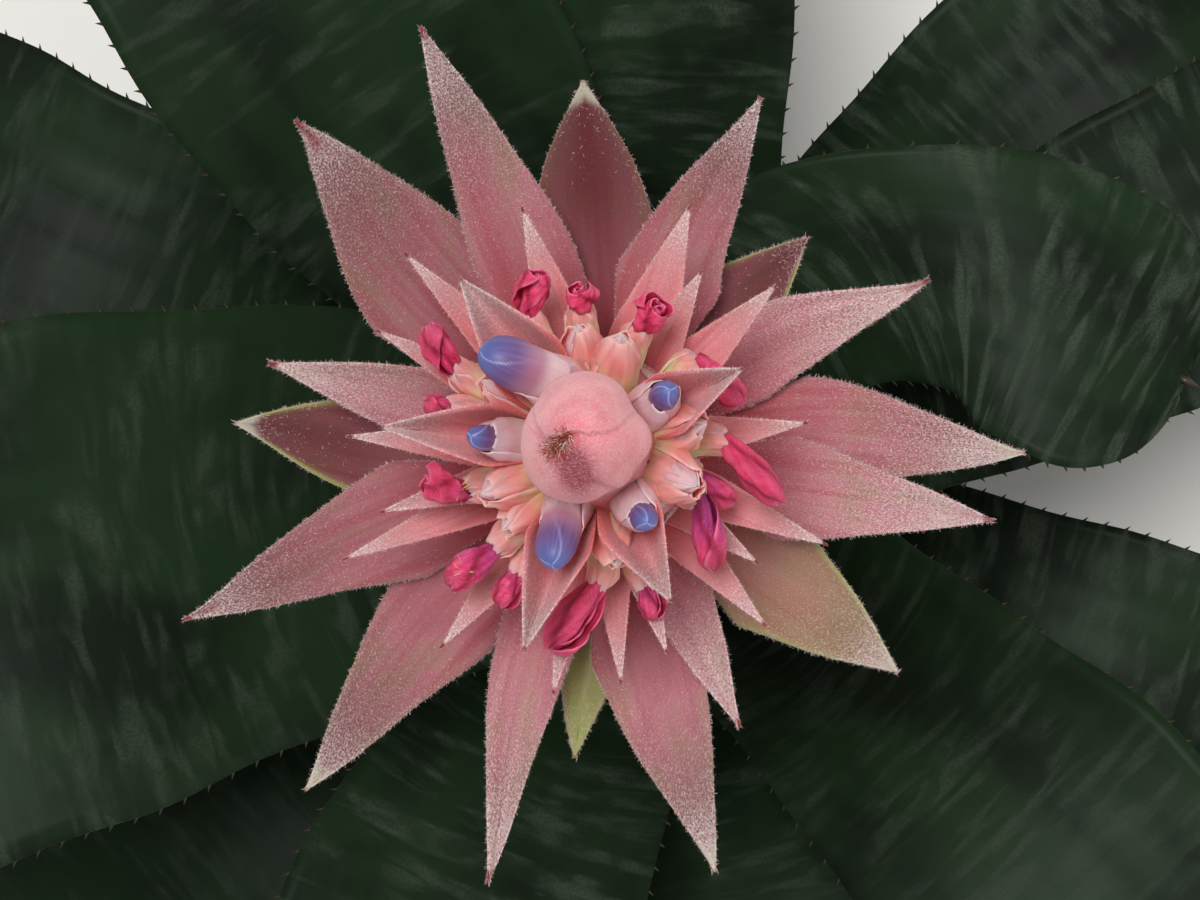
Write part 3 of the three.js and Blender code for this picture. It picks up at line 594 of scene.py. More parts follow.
def scape_finish(look):
    """Stalk: green-pink flesh under loose white wool."""
    it = Finish("stalk_woolly", IOR=1.4, Roughness=0.85, Sheen_Weight=0.5, Sheen_Roughness=0.5)
    flesh = it.blend(it.ramp(it.noise(4, 22, 3), 0.35, 0.65), look.stalk_flesh, look.stalk_pink)
    # Strands of wool are 0.05 mm thick; they are drawn 0.4 mm wide, to show.
    wool = it.noise(0.4, 2.4, 3, 0.7, 1.2)
    it.colour(it.blend(it.ramp(wool, 0.36, 0.62, 0.1, 0.9), flesh, look.wool_white))
    it.bump(wool, 0.4, 0.9)
    return it.material


def stem_finish(look):
    """Stem: corky brown bark, with rings where old leaves sat."""
    it = Finish("bark_corky", IOR=1.4, Roughness=0.9)
    # Flakes 3 mm long, cracks 0.7 mm wide.
    flakes = it.noise(6, 3, 4, 0.65)
    cracks = it.add("TexVoronoi", {"Vector": it.places(3.5, 2), "Scale": 1.0},
                    feature="DISTANCE_TO_EDGE").outputs["Distance"]
    bark = it.blend(it.ramp(flakes, 0.35, 0.65), look.bark_brown, look.bark_light)
    it.colour(it.blend(it.ramp(cracks, 0, 0.14, 0.75, 0), bark, look.bark_dark))
    it.bump(cracks, 0.6, 0.7)
    it.bump(flakes, 0.5, 0.7)
    return it.material


def hair_finish(name, root, tip):
    """Plant hair: a dry hollow cell, white where it holds air."""
    it = Finish(name, IOR=1.4, Roughness=0.6)
    shade = it.blend(it.fact("along"), root, tip)
    it.colour(it.blend(it.ramp(it.fact("tone"), 0, 1, 0, 0.4), shade, root))
    return it.material


def tuft_finish(look):
    """Tuft: dry red-brown bract tips and hairs, some of them white and glinting."""
    it = Finish("hair_brown_of_tuft", IOR=1.5, Roughness=0.4)
    brown = it.blend(it.ramp(it.fact("tone"), 0.1, 0.6), look.tuft_dark, look.tuft_brown)
    it.colour(it.blend(it.ramp(it.fact("tone"), 0.72, 0.76), brown, look.tuft_gold))
    return it.material


def floor_finish(look):
    """Studio floor: matt painted board, plain and even, that takes soft shadows without a glint."""
    return Finish("floor_matt_paint", Base_Color=(*look.floor_pale, 1), IOR=1.45, Roughness=0.8).material


# Pieces

def leaf_middle(leaf, index):
    """A leaf's curve: reaches, heights, points of its middle line in plan, headings."""
    azimuth, rise, erect, arch, fall, _, turn = leaf
    stride = (erect + arch) / PROFILE_STEPS
    along = np.arange(PROFILE_STEPS + 1) * stride
    pitch = np.radians(lerp(rise, fall, np.maximum(0, (along[:-1] + stride / 2 - erect) / arch)))
    height = LEAF_FIRST_HEIGHT + LEAF_STEP * index
    foot = lerp(STEM_FOOT_RADIUS, STEM_TOP_RADIUS, height / STEM_HEIGHT)
    reach = foot + GAP + LEAF_THICKNESS / 2 + LEAF_FACET_SAG + np.append(0, np.cumsum(np.cos(pitch) * stride))
    heights = height + np.append(0, np.cumsum(np.sin(pitch) * stride))
    heading = azimuth + turn * smooth((along - 0.6 * erect) / arch)
    start = polar(azimuth, reach[0])
    steps = np.cumsum(polar(heading[1:], np.diff(reach)), axis=0)
    return reach, heights, np.concatenate([start[None], start + steps]), heading


def leaf_grid(leaf, index, row, u):
    """Middle surface of a leaf, and how far along and across it each point lies."""
    _, _, erect, arch, _, width, _ = leaf
    reach, heights, plan, heading = leaf_middle(leaf, index)
    share = 1 - (1 - row) ** 1.35
    along = share * (erect + arch)
    at = (share * PROFILE_STEPS)[..., 0]
    steps = np.arange(PROFILE_STEPS + 1)
    middle = along_line(at, steps, plan)[:, None]
    facing_to = np.interp(at, steps, heading)[:, None]
    distance = np.linalg.norm(middle, axis=-1)
    azimuth = np.degrees(np.arctan2(middle[..., 1], middle[..., 0]))
    taper = np.where(share < 0.82, 1, np.sqrt(np.maximum(0, 1 - ((share - 0.82) / 0.185) ** 2)))
    half = width / 2 * taper * lerp(0.82, 1, smooth((share - 0.3) / 0.3))
    half = half * (1 + 0.018 * np.sin(21 * share + 2.1 * index) + 0.012 * np.sin(47 * share + index))
    wrap = np.minimum(np.degrees(half / distance), LEAF_WRAP)
    flatness = smooth((along - erect * 1.3) / (arch * 0.5))
    straight = middle + polar(facing_to + 90, u * half)
    point = lerp(polar(azimuth + u * wrap, distance), straight, flatness[..., None])
    height = np.interp(np.linalg.norm(point, axis=-1), reach, heights) + LEAF_CHANNEL * u * u * flatness
    # Shallow pleats along the blade, and a wavy edge.
    pleats = 0.18 * np.cos(u * 19) * (1 - u * u)
    pleats = pleats + 0.7 * np.abs(u) ** 5 * np.sin(along / 9 + 3 * np.sign(u) + index)
    return raised(point, height + pleats * flatness), along, half * u


def make_leaves(look):
    """The leaves of the rosette, and the teeth along their edges."""
    finish = leaf_finish(look)
    teeth = []
    for index, leaf in enumerate(LEAVES):
        number = f"{index + 1:02d}"
        row, u = over(*LEAF_CELLS)
        grid, along, across = leaf_grid(leaf, index, row, u)
        facts = {"place": ruler(across, along, index + 1), "silver": 0.62 + 0.2 * np.sin(index * 2.4)}
        thickness = lerp(LEAF_THICKNESS, LEAF_RIM, np.abs(u) ** 3)
        made = piece(f"leaf_blade_{number}", *skin(grid, thickness, facts), finish, "leaf")
        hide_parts(f"leaf_{number}")
        teeth.append(leaf_spines(leaf, index, grid, along[:, 0], look))
    piece("leaf_spines", *join(teeth), spine_finish(look), "leaf")


def leaf_spines(leaf, index, grid, along, look):
    """Curved teeth along both edges of a leaf, and the cusp at its tip."""
    stations = np.arange(28, along[-1] - 4, look.spine_spacing)
    parts = []
    for edge, beside in ((0, 1), (-1, -2)):
        rim = along_line(stations, along, grid[:, edge])
        inner = along_line(stations, along, grid[:, beside])
        ahead = along_line(stations + 1, along, grid[:, edge])
        out, forward = unit(rim - inner), unit(ahead - rim)
        up = unit(np.cross(out, forward))
        root = rim - out * 0.25
        tip = rim + out * look.spine_length * 0.8 + forward * look.spine_length * 0.7
        corners = [root - forward * 0.5, root + up * 0.2, root + forward * 0.5, root - up * 0.2, tip]
        points = np.stack(corners, 1).reshape(-1, 3)
        first = 5 * np.arange(len(stations))[:, None]
        faces = np.concatenate([first + [k, (k + 1) % 4, 4] for k in range(4)]).tolist()
        parts.append((points, faces, {"along": np.tile([0.0, 0, 0, 0, 1], len(stations))}))
    end = grid[-1].mean(0)
    forward = unit(end - grid[-6].mean(0))
    out = unit(grid[-4, -1] - grid[-4, 0])
    up = np.cross(forward, out)
    back = end - forward * 2
    side, above = out * 1.6, up * 0.5
    points = np.array([back - side, back + above, back + side, back - above, end + forward * 3.2])
    points[:, 2] = np.maximum(points[:, 2], CUSP_CLEARANCE)
    faces = [[k, (k + 1) % 4, 4] for k in range(4)] + [[3, 2, 1, 0]]
    parts.append((points, faces, {"along": np.array([0.0, 0, 0, 0, 1])}))
    return join(parts)


def bract_half(row, width, full):
    """Half the width of a bract: widest a third of the way up, then drawn out to a point."""
    foot = lerp(0.6, 1, smooth(row / 0.36))
    taper = np.where(row < 0.36, 1, 1 - np.maximum(0, (row - 0.36) / 0.64) ** full)
    return width / 2 * foot * np.maximum(taper, 0.02)


def outer_bract_grid(bract, index, row, u):
    """Middle surface of an outer bract, and how far along and across it each point lies."""
    foot, tip, reach, width, level, lift, full = bract[:7]
    out = lerp(SCAPE_TOP_RADIUS + GAP + BRACT_THICKNESS / 2, reach, row)
    swing = ((tip - foot + 540) % 360 - 180) * smooth((row - 0.3) / 0.7)
    half = np.minimum(bract_half(row, width, full), out * 0.285)
    # The edge is a little uneven.
    half = half * (1 + 0.025 * np.sin(17 * row + index) * smooth(row * 3))
    point = polar(foot + swing, out) + polar(foot + swing + 90, u * half)
    keel = 0.6 * np.abs(u) + 1.2 * u * u * smooth((row - 0.35) / 0.3)
    height = BRACT_FOOT_HEIGHT + BRACT_LEVEL_STEP * level + 7 * row + lift * row * row
    height = height + keel * np.minimum(1, 6 * (1 - row)) + swell(index, row, u, 0.5) * smooth(row * 2)
    # Soft folds from the bud run to the tip.
    folds = 0.22 * np.sin(u * (5 + index % 3) + 1.7 * index) + 0.1 * np.sin(u * (11 + index % 4) + index)
    height = height + folds * smooth(row * 2) * np.minimum(1, 4 * (1 - row))
    if bract[-1] == "hook":
        height = height + 2.6 * smooth((row - 0.93) / 0.07) ** 2
    return raised(point, height), row * reach, half * u


def floral_bract_grid(bract, index, row, u, boat):
    """The same for a floral bract. A boat is one that cups round a tube."""
    azimuth, reach, width, root, tip = bract
    out = lerp(5.5, reach, row)
    half = np.minimum(bract_half(row, width, FLORAL_FULLNESS), out * 0.5)
    point = polar(azimuth, out) + polar(azimuth + 90, u * half)
    cup = 1.2 * (1 - row) + (BOAT_CUP if boat else 1.2) * np.sin(np.pi * row ** 0.7)
    height = lerp(root, tip, row) + 1.4 * np.sin(np.pi * row) + cup * u * u
    height = height + swell(index + 40, row, u, 0.2) * smooth(row * 2)
    return raised(point, height), row * reach, half * u


def bract_facts(row, u, along, across, number, frost, green, maroon, ending):
    """What the bract material reads: the felt thickens to the tip and the edges."""
    side = np.abs(u)
    felt = frost * (0.38 + 0.62 * smooth((row - 0.3) / 0.6))
    felt = felt + 0.1 * smooth((side - 0.82) / 0.18) * smooth(row * 3)
    # The maroon and green faces stay bare of felt, and the maroon darkens outwards.
    bare = max(0.8 * maroon, smooth((green - 0.7) / 0.2))
    felt = felt + 0.4 * smooth((row - 0.74) / 0.24) * (1 - bare)
    dark = maroon * (1 - 0.25 * smooth(side)) * lerp(0.5, 1, smooth((row - 0.25) / 0.45))
    dry = (ending == "fuzz") * smooth((row - 0.925 + 0.03 * side) / 0.045)
    starts = {"thread": 0.962, "cusp": 0.982, "hook": 0.972, "fuzz": 0.992}[ending]
    # A little green keeps to the edges; much of it covers the blade.
    margin = lerp(smooth((side - 0.8) / 0.16), 0.65 + 0.35 * side, smooth((green - 0.45) / 0.1))
    verge = smooth((green - 0.15) / 0.2) * smooth((side - 0.93) / 0.05) * smooth((row - 0.35) / 0.2)
    verge = np.maximum(verge, smooth((green - 0.8) / 0.1) * (0.6 + 0.4 * smooth((row - 0.72) / 0.2)))
    # A hooked tip dries hollow.
    scar = 0.7 * (ending == "hook") * smooth((row - 0.9) / 0.04) * (1 - smooth((side - 0.3) / 0.4))
    return {"place": ruler(across, along, number), "row": row, "side": side, "worn": 1.0,
            "frost": np.clip(felt, 0, 1), "green": green * margin * smooth((row - 0.1) / 0.5),
            "maroon": dark, "tip": np.maximum(smooth((row - starts) / 0.012), scar), "pale": 0.75 * dry,
            "verge": verge}


def edge_hairs(grid, per_mm, length, dice):
    """Hairs that stand out from both edges of a blade."""
    parts = []
    for edge, beside in ((0, 2), (-1, -3)):
        rim = grid[:, edge]
        steps = np.append(0, np.cumsum(np.linalg.norm(np.diff(rim, axis=0), axis=1)))
        at = np.sort(dice.random(int(steps[-1] * per_mm))) * steps[-1]
        roots, inner = along_line(at, steps, rim), along_line(at, steps, grid[:, beside])
        ahead = along_line(at + 0.5, steps, rim)
        out = unit(roots - inner) + 0.55 * unit(ahead - roots + 1e-6)
        ways = out + dice.normal(scale=0.4, size=out.shape)
        lengths = length * (0.4 + 0.8 * dice.random(len(at)) ** 1.5)
        parts.append(fibres(roots - unit(out) * 0.1, ways, lengths, FRINGE_WIDTH, 0.5, dice))
    return parts


def face_hairs(grid, count, length, weight, dice):
    """Short hairs that lie along the upper face, thickest where weight is high."""
    weight = np.broadcast_to(weight, grid.shape[:2])[:-1, :-1]
    corner = grid[:-1, :-1]
    odds = weight * np.linalg.norm(np.cross(grid[1:, :-1] - corner, grid[:-1, 1:] - corner), axis=-1)
    chosen = dice.choice(odds.size, count, p=(odds / odds.sum()).ravel())
    i, j = np.unravel_index(chosen, odds.shape)
    a, b = dice.random((2, count, 1))
    roots = lerp(lerp(grid[i, j], grid[i + 1, j], a), lerp(grid[i, j + 1], grid[i + 1, j + 1], a), b)
    up = facing(grid)[i, j]
    ways = unit(grid[i + 1, j] - grid[i, j]) + dice.normal(scale=0.8, size=(count, 3))
    ways = unit(ways - up * (ways * up).sum(1, keepdims=True)) + up * (0.25 + 0.3 * dice.random((count, 1)))
    lengths = length * (0.5 + 0.7 * dice.random(count))
    return fibres(roots + up * 0.3, ways, lengths, FELT_WIDTH, 0.6, dice)


def make_outer_bracts(look):
    """The pink star, with its fringe of hairs and the felt on its upper faces."""
    skin_colours = look.bract_foot_red_and_shade, look.bract_pink, look.bract_dusk_and_shade
    finish = bract_finish("bract_papery_felted", look, *skin_colours, 1.0, 0.45, 0.65)
    dice = np.random.default_rng(BRACT_SEED)
    fringe, felt = [], []
    for index, bract in enumerate(OUTER_BRACTS):
        number = f"{index + 1:02d}"
        row, u = over(*BRACT_CELLS)
        grid, along, across = outer_bract_grid(bract, index, row, u)
        frost, green, maroon, ending = bract[7:]
        facts = bract_facts(row, u, along, across, index + 1, frost, green, maroon, ending)
        # Under the thickest felt the skin stays pink; on thinly felted bracts the outer half dulls, partly as
        # dry skin and partly as painted shade on the bracts to the left.
        facts["worn"] = smooth((0.72 - frost) / 0.2)
        thickness = lerp(BRACT_THICKNESS, BRACT_RIM, u * u) * lerp(1, 0.6, row)
        made = piece(f"bract_blade_{number}", *skin(grid, thickness, facts), finish, "bract")
        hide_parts(f"bract_{number}")
        fringe += edge_hairs(grid[FRINGE_FROM:], look.hairs_per_mm, look.hair_length, dice)
        count = int(FELT_HAIRS * (1 - 0.85 * maroon))
        weight = facts["frost"][FELT_FROM:] ** 2
        felt.append(face_hairs(grid[FELT_FROM:], count, FELT_LENGTH, weight, dice))
    white = hair_finish("hair_white_of_bracts", look.hair_root, look.hair_white)
    piece("bract_fringe", *join(fringe), white, "bract")
    piece("bract_felt", *join(felt), white, "bract")


def floral_finish(name, look, flushed):
    """The felted finish in the colours of the flower head."""
    skin_colours = look.floral_foot_and_shade, look.floral_pink, look.floral_dusk
    return bract_finish(name, look, *skin_colours, 0.8, flushed)


def make_floral_bracts(look):
    """The short bracts of the head, with their fringe."""
    finish = floral_finish("bract_floral_felted", look, 0.25)
    dice = np.random.default_rng(FLORAL_SEED)
    fringe = []
    for index, bract in enumerate(FLORAL_BRACTS):
        boat = index >= len(FLORAL_BRACTS) - BOATS
        row, u = over(*FLORAL_CELLS)
        grid, along, across = floral_bract_grid(bract, index, row, u, boat)
        facts = bract_facts(row, u, along, across, index + FLORAL, 0.8 if boat else 0.6, 0, 0, "thread")
        thickness = lerp(1, BRACT_RIM, u * u) * lerp(1, 0.5, row)
        piece(f"floral_bract_{index + 1:02d}", *skin(grid, thickness, facts), finish, "flower_head")
        fringe += edge_hairs(grid[FLORAL_FRINGE_FROM:], look.hairs_per_mm, look.hair_length * 0.8, dice)
    white = hair_finish("hair_white_of_flowers", look.hair_root, look.hair_white)
    piece("floral_fringe", *join(fringe), white, "flower_head")


def waist(height):
    """Share of its width that the core keeps where the crown hides it."""
    return 1 - 0.3 * smooth((height - 278) / 20)


def make_core(look):
    """The fleshy middle of the head, which the floral bracts and the tubes stand on."""
    steps = np.arange(len(CORE_OUTLINE))
    outline = along_line(np.linspace(0, steps[-1], 60), steps, np.array(CORE_OUTLINE))
    radius, height = outline[:, :1], outline[:, 1:]
    turn = all_round(72)
    radius = radius * waist(height) * (1 + 0.02 * np.sin(np.radians(turn * 13) + height / 3))
    # The core shows only in the gaps between the tubes. Its low row keeps it mostly in the deep coral of the
    # foot, which is partly painted shade in those gaps.
    facts = {"place": ruler(turn / 360 * 75, height, CORE), "frost": 0.25,
             "row": 0.3 + 0.3 * smooth((height - CORE_FOOT) / 50)}
    rings = raised(polar(turn, radius), height)
    made = piece("head_core", *loft(rings, facts), floral_finish("core_felted", look, 0.6), "flower_head")
    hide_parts("flower_head")
    make_clasping_bracts(look)


def make_clasping_bracts(look):
    """Rings of small bracts that lie on the core, each over the gap between two below."""
    radii, levels = np.array(CORE_OUTLINE)[1:7].T
    scales = []
    for ring, (count, first, low, high, flare, wrap) in enumerate(CLASPING_BRACTS):
        for k in range(count):
            row, u = over(*CLASPING_CELLS)
            half = wrap * (0.75 + 0.25 * smooth(row * 3))
            half = half * (1 - np.clip((row - 0.3) / 0.7, 0, 1) ** 1.7) + 0.4
            height = lerp(low, high + 0.8 * math.sin(2.4 * k + ring) * (high < 300), row)
            reach = np.interp(height, levels, radii) * waist(height) + 0.5
            reach = reach + flare * row * row - 0.25 * u * u
            grid = raised(polar(first + 360 / count * k - u * half, reach), height)
            number = CLASPING + 10 * ring + k
            facts = bract_facts(row, u, row * (high - low), u * half * reach / ARC, number, 0.6, 0, 0, "cusp")
            scales.append(skin(grid, CLASPING_THICKNESS, facts))
    finish = floral_finish("bract_clasping_felted", look, 0.3)
    piece("clasping_bracts", *join(scales), finish, "flower_head")


def frame_of(axis):
    """Two directions square to an axis."""
    aside = UP if abs(axis[2]) < 0.9 else np.array([1.0, 0, 0])
    first = unit(np.cross(aside, axis))
    return first, np.cross(axis, first)


def sepal_tube(path, radius, mouth, spread, pale, index, start, lengths):
    """Three sepals wrapped over one another along a bent path; each tip is a rounded lobe."""
    first, second, third, last = path
    across = unit(np.cross(UP, last - first + 1e-6))
    closed = mouth < 0.3
    parts = []
    for k in range(3):
        row, u = over(*SEPAL_CELLS)
        t = (row * lengths[k])[..., None]
        s = 1 - t
        middle = s ** 3 * first + 3 * s * s * t * second + 3 * s * t * t * third + t ** 3 * last
        ahead = unit(s * s * (second - first) + 2 * s * t * (third - second) + t * t * (last - third))
        upward = np.cross(ahead, across)
        body = np.interp(row, [0, 0.1, 0.4, 0.68, 0.84, 0.94, 1],
                         [0.5, 0.7, 0.96, 1.04, 0.97, lerp(mouth, 0.9, 0.45), mouth])
        lobe = lerp(spread, 84, (1 - smooth((row - 0.84) / 0.16)) ** 0.6)
        angle = np.radians(120 * k + start + u * lobe)
        # One edge of each sepal lies over its neighbour, and the tips are a little crumpled.
        crumple = 0.26 * np.sin(5 * angle + 9 * row + index)
        crumple = crumple + 0.16 * np.sin(11 * angle - 14 * row + 2 * index)
        layer = (0.2 * u + 0.05 * k) * (1 - 0.8 * closed * smooth((row - 0.88) / 0.12))
        layer = layer + crumple * smooth((row - 0.55) / 0.3) * lerp(1, 0.35, pale)
        out = radius * body + layer * (1 - 0.7 * closed * smooth((row - 0.94) / 0.06))
        out = np.maximum(out + 0.1 * np.sin(3 * angle + index), 0.04)
        grid = about(middle, across, upward, out, angle)
        facts = {"place": ruler(u * lobe * radius / ARC, row * 16, index * 3 + k + SEPAL), "row": row,
                 "side": np.maximum(np.abs(u), smooth((row - 0.93) / 0.07)), "pale": pale}
        parts.append(skin(grid, lerp(SEPAL_THICKNESS, SEPAL_RIM, smooth((row - 0.8) / 0.2)), facts))
    return parts


def bud_axis(pitch, lean):
    """The way that a flower points, from its pitch and its azimuth."""
    tilt = math.radians(pitch)
    return np.append(polar(lean, math.cos(tilt)), math.sin(tilt))


def upper_sepals(index, tube, bud):
    """The sepals of a tube beside the crown, round its bud if it holds one."""
    azimuth, reach, height, radius = tube
    root, mouth = spot(azimuth, 3.5, height - 15), spot(azimuth, reach, height)
    if bud:
        _, length, girth, pitch, lean, _ = bud
        axis = bud_axis(pitch, lean)
        # The sepals hold the foot of the bud, and leave its upper part free.
        tip = mouth + axis * (0.9 + 0.14 * length)
        path = (root, lerp(root, mouth, 0.4), mouth - axis * (BUD_ROOT + 1.5) - UP * 0.6, tip)
        widest = max(radius, girth * 1.1)
        # The sepal on top of a leaning bud is the shortest.
        lengths = (0.91 if pitch < 60 else 1, 1, 0.97)
        return sepal_tube(path, widest, girth / widest, 58, 0.5 if pitch < 40 else 1, index, 90, lengths)
    tip = mouth + unit(mouth - root) * 1.2 + spot(azimuth, 1.6, 0)
    path = (root, lerp(root, mouth, 0.4), lerp(root, mouth, 0.75) + UP * 0.8, tip)
    # The three outer sepals stand a little open round the closed inner ones.
    start = SEPAL_TURN * index
    parts = sepal_tube(path, radius * 1.18, 0.5, 60, 0.0, index, start, (1, 0.96, 0.9))
    return parts + sepal_tube(path, radius * 0.86, 0.02, 84, 0.7, index + 20, start + 60, (1.02, 1.01, 1))


def spent_sepals(index, flower):
    """The sepals that hold the foot of a withered flower."""
    azimuth, reach, lean, length, _, height, pitch = flower[:7]
    axis = bud_axis(pitch, lean)
    foot = spot(azimuth, reach, height) - axis * length * 0.5
    root = spot(azimuth, 5, height - 10)
    path = (root, lerp(root, foot, 0.5), foot - axis * 1.5, foot + axis * 1.6)
    return sepal_tube(path, 2.0, 0.62, 46, 0.2, index, SEPAL_TURN * index, (1, 0.965, 0.93))


def make_sepal_tubes(look):
    """The sepals of every single flower."""
    finish = sepal_finish(look)
    held = {bud[0]: bud for bud in BUDS}
    tubes = [upper_sepals(index, tube, held.get(index)) for index, tube in enumerate(UPPER_TUBES)]
    tubes += [spent_sepals(index, flower) for index, flower in enumerate(SPENT_FLOWERS)]
    for number, parts in enumerate(tubes, 1):
        piece(f"sepal_tube_{number:02d}", *join(parts), finish, "flower_head")


def make_buds(look):
    """The blue buds, each three petals that overlap as a blunt egg."""
    finish = bud_finish(look)
    for index, (tube, length, radius, pitch, lean, crease) in enumerate(BUDS):
        azimuth, reach, height, _ = UPPER_TUBES[tube]
        axis = bud_axis(pitch, lean)
        first, second = frame_of(axis)
        foot = spot(azimuth, reach, height) - axis * BUD_ROOT
        span = BUD_ROOT + length
        row = (1 - np.cos(np.linspace(0.12, 3.06, 44)))[:, None] / 2
        turn = np.radians(all_round(90))
        # A blunt egg: half an ellipse at each end of its widest place.
        widest = 0.56
        lower = 0.72 + 0.28 * np.sqrt(np.maximum(0, 1 - ((widest - row) / widest) ** 2))
        upper = np.maximum(0, 1 - ((row - widest) / (1 - widest)) ** 2) ** 0.46
        body = np.where(row < widest, lower, upper)
        # Three petals overlap: each seam is a small step that swings round the bud.
        around = (3 * (turn / (2 * np.pi) + 0.3 * row + crease / 360)) % 1
        out = radius * body * (1 + 0.05 * (around - 0.5) + 0.03 * np.cos(2 * np.pi * around))
        rings = about(foot + axis * (row * span)[..., None], first, second, out, turn)
        away = np.minimum(around, 1 - around) * 2 * np.pi * np.maximum(out, 0.05) / 3
        fold = (1 - smooth(away / 0.2)) * smooth((row - 0.42) / 0.3)
        facts = {"place": ruler(turn * radius, row * span, index + BUD), "row": row, "fold": fold}
        made = piece(f"bud_petals_{index + 1:02d}", *loft(rings, facts), finish, "bud")
        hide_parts(f"bud_{index + 1:02d}")


def rolled_petal(middle, axis, length, radius, turns, start, index, scale, mouth, cells):
    """One limp petal rolled round the axis as a scroll, twisted, with deep folds along its length."""
    first, second = frame_of(axis)
    row, u = over(*cells)
    wound = (u + 1) / 2
    angle = 2 * np.pi * turns * wound + start + 2.1 * (row - 0.5)
    body = np.interp(row, [0, 0.12, 0.35, 0.62, 0.8, 0.9, 0.96, 1],
                     [0.36, 0.6, 0.86, 1.02, 1.0, lerp(mouth, 1, 0.72), lerp(mouth, 1, 0.35), mouth])
    deep = 1 - np.abs(np.sin(1.5 * angle + 2.6 * row + index)) ** 0.7
    fine = 1 - np.abs(np.sin(4.5 * angle - 3.5 * row + 2 * index)) ** 0.8
    dents = 0.06 * np.sin(7 * row + 3 * angle + index) + 0.05 * np.sin(15 * row - 2 * angle)
    folds = 1 - 0.24 * deep - 0.06 * fine + dents
    out = radius * scale * body * lerp(0.24, 1.08, wound ** 0.75) * folds
    # The ends are uneven, and the free edge lifts off the roll.
    out = out + 0.35 * smooth((wound - 0.93) / 0.07) * (0.4 + 0.6 * np.sin(6 * row + index) ** 2)
    ragged = 0.05 * np.sin(3 * angle + index) + 0.012 * np.sin(13 * angle + 2)
    bow = 0.06 * length * np.sin(np.pi * row)
    along = (row - 0.5 + ragged * (row - 0.4)) * length
    centre = middle + axis * along[..., None] + UP * bow[..., None]
    grid = about(centre, first, second, out, angle)
    rim = np.maximum(smooth((row - 0.95) / 0.05), smooth((wound - 0.97) / 0.03) * smooth(row * 2))
    return grid, row, rim, np.clip(deep + 0.4 * fine, 0, 1), out * angle


def make_spent_flowers(look):
    """The withered flowers, each a roll within a roll, and the dry stamens of two."""
    finish = spent_finish(look)
    for index, flower in enumerate(SPENT_FLOWERS):
        azimuth, reach, lean, length, radius, height, pitch, turns, age, mouth = flower
        middle, axis = spot(azimuth, reach, height), bud_axis(pitch, lean)
        start = index * 1.3
        # An outer roll, and a smaller one inside it.
        rolls = ((1.12, start, turns, OUTER_ROLL_CELLS), (0.7, start + 2.2, 1.0, INNER_ROLL_CELLS))
        parts = []
        for scale, turned, wound, cells in rolls:
            ending = mouth * min(1, scale ** 2) * (1 if pitch > 15 else 0.6)
            grid, row, rim, fold, way = rolled_petal(middle, axis, length * min(1, scale + 0.2), radius,
                                                     wound, turned, index, scale, ending, cells)
            facts = {"place": ruler(way, row * length, index + PETAL), "edge": rim, "fold": fold,
                     "age": np.clip(age * (1.4 - 1.5 * row), 0, 1)}
            parts.append(skin(grid, PETAL_THICKNESS, facts))
        made = piece(f"spent_petals_{index + 1:02d}", *join(parts), finish, "spent_flower")
        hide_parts(f"spent_flower_{index + 1:02d}")
    dice = np.random.default_rng(STAMEN_SEED)
    threads = []
    for index, side in STAMENS_AT:
        azimuth, reach, lean, length, radius, height, pitch = SPENT_FLOWERS[index][:7]
        axis = bud_axis(pitch, lean)
        root = spot(azimuth, reach, height) + axis * length * side + UP * radius * 0.9
        roots = root + dice.normal(scale=0.35, size=(STAMENS, 3)) * [1, 1, 0.2]
        ways = dice.normal(scale=0.7, size=(STAMENS, 3)) + [0, 0, 0.5]
        threads.append(fibres(roots, ways, 1.2 + 0.9 * dice.random(STAMENS), STAMEN_WIDTH, 0.9, dice))
    dry = hair_finish("stamen_dry", look.stamen_root, look.stamen_tip)
    piece("dry_stamens", *join(threads), dry, "spent_flower")


def past_edge(points, edge):
    """How far points lie to the left of an edge that runs out from the tuft, in millimetres."""
    course = np.array([TUFT, *edge]) - TUFT
    reaches = np.linalg.norm(course, axis=1)
    bearings = np.unwrap(np.arctan2(course[1:, 1], course[1:, 0]))
    from_tuft = points - TUFT
    reach = np.linalg.norm(from_tuft, axis=-1)
    bearing = np.arctan2(from_tuft[..., 1], from_tuft[..., 0])
    turn = (bearing - np.interp(reach, reaches[1:], bearings) + np.pi) % (2 * np.pi) - np.pi
    return np.sin(np.clip(turn, -np.pi / 2, np.pi / 2)) * reach


def dome(share):
    """Height of the crown at a share of the way out from its middle."""
    return lerp(CROWN_BASE, CROWN_TOP - 0.5, np.cos(share * np.pi / 2) ** 0.8)


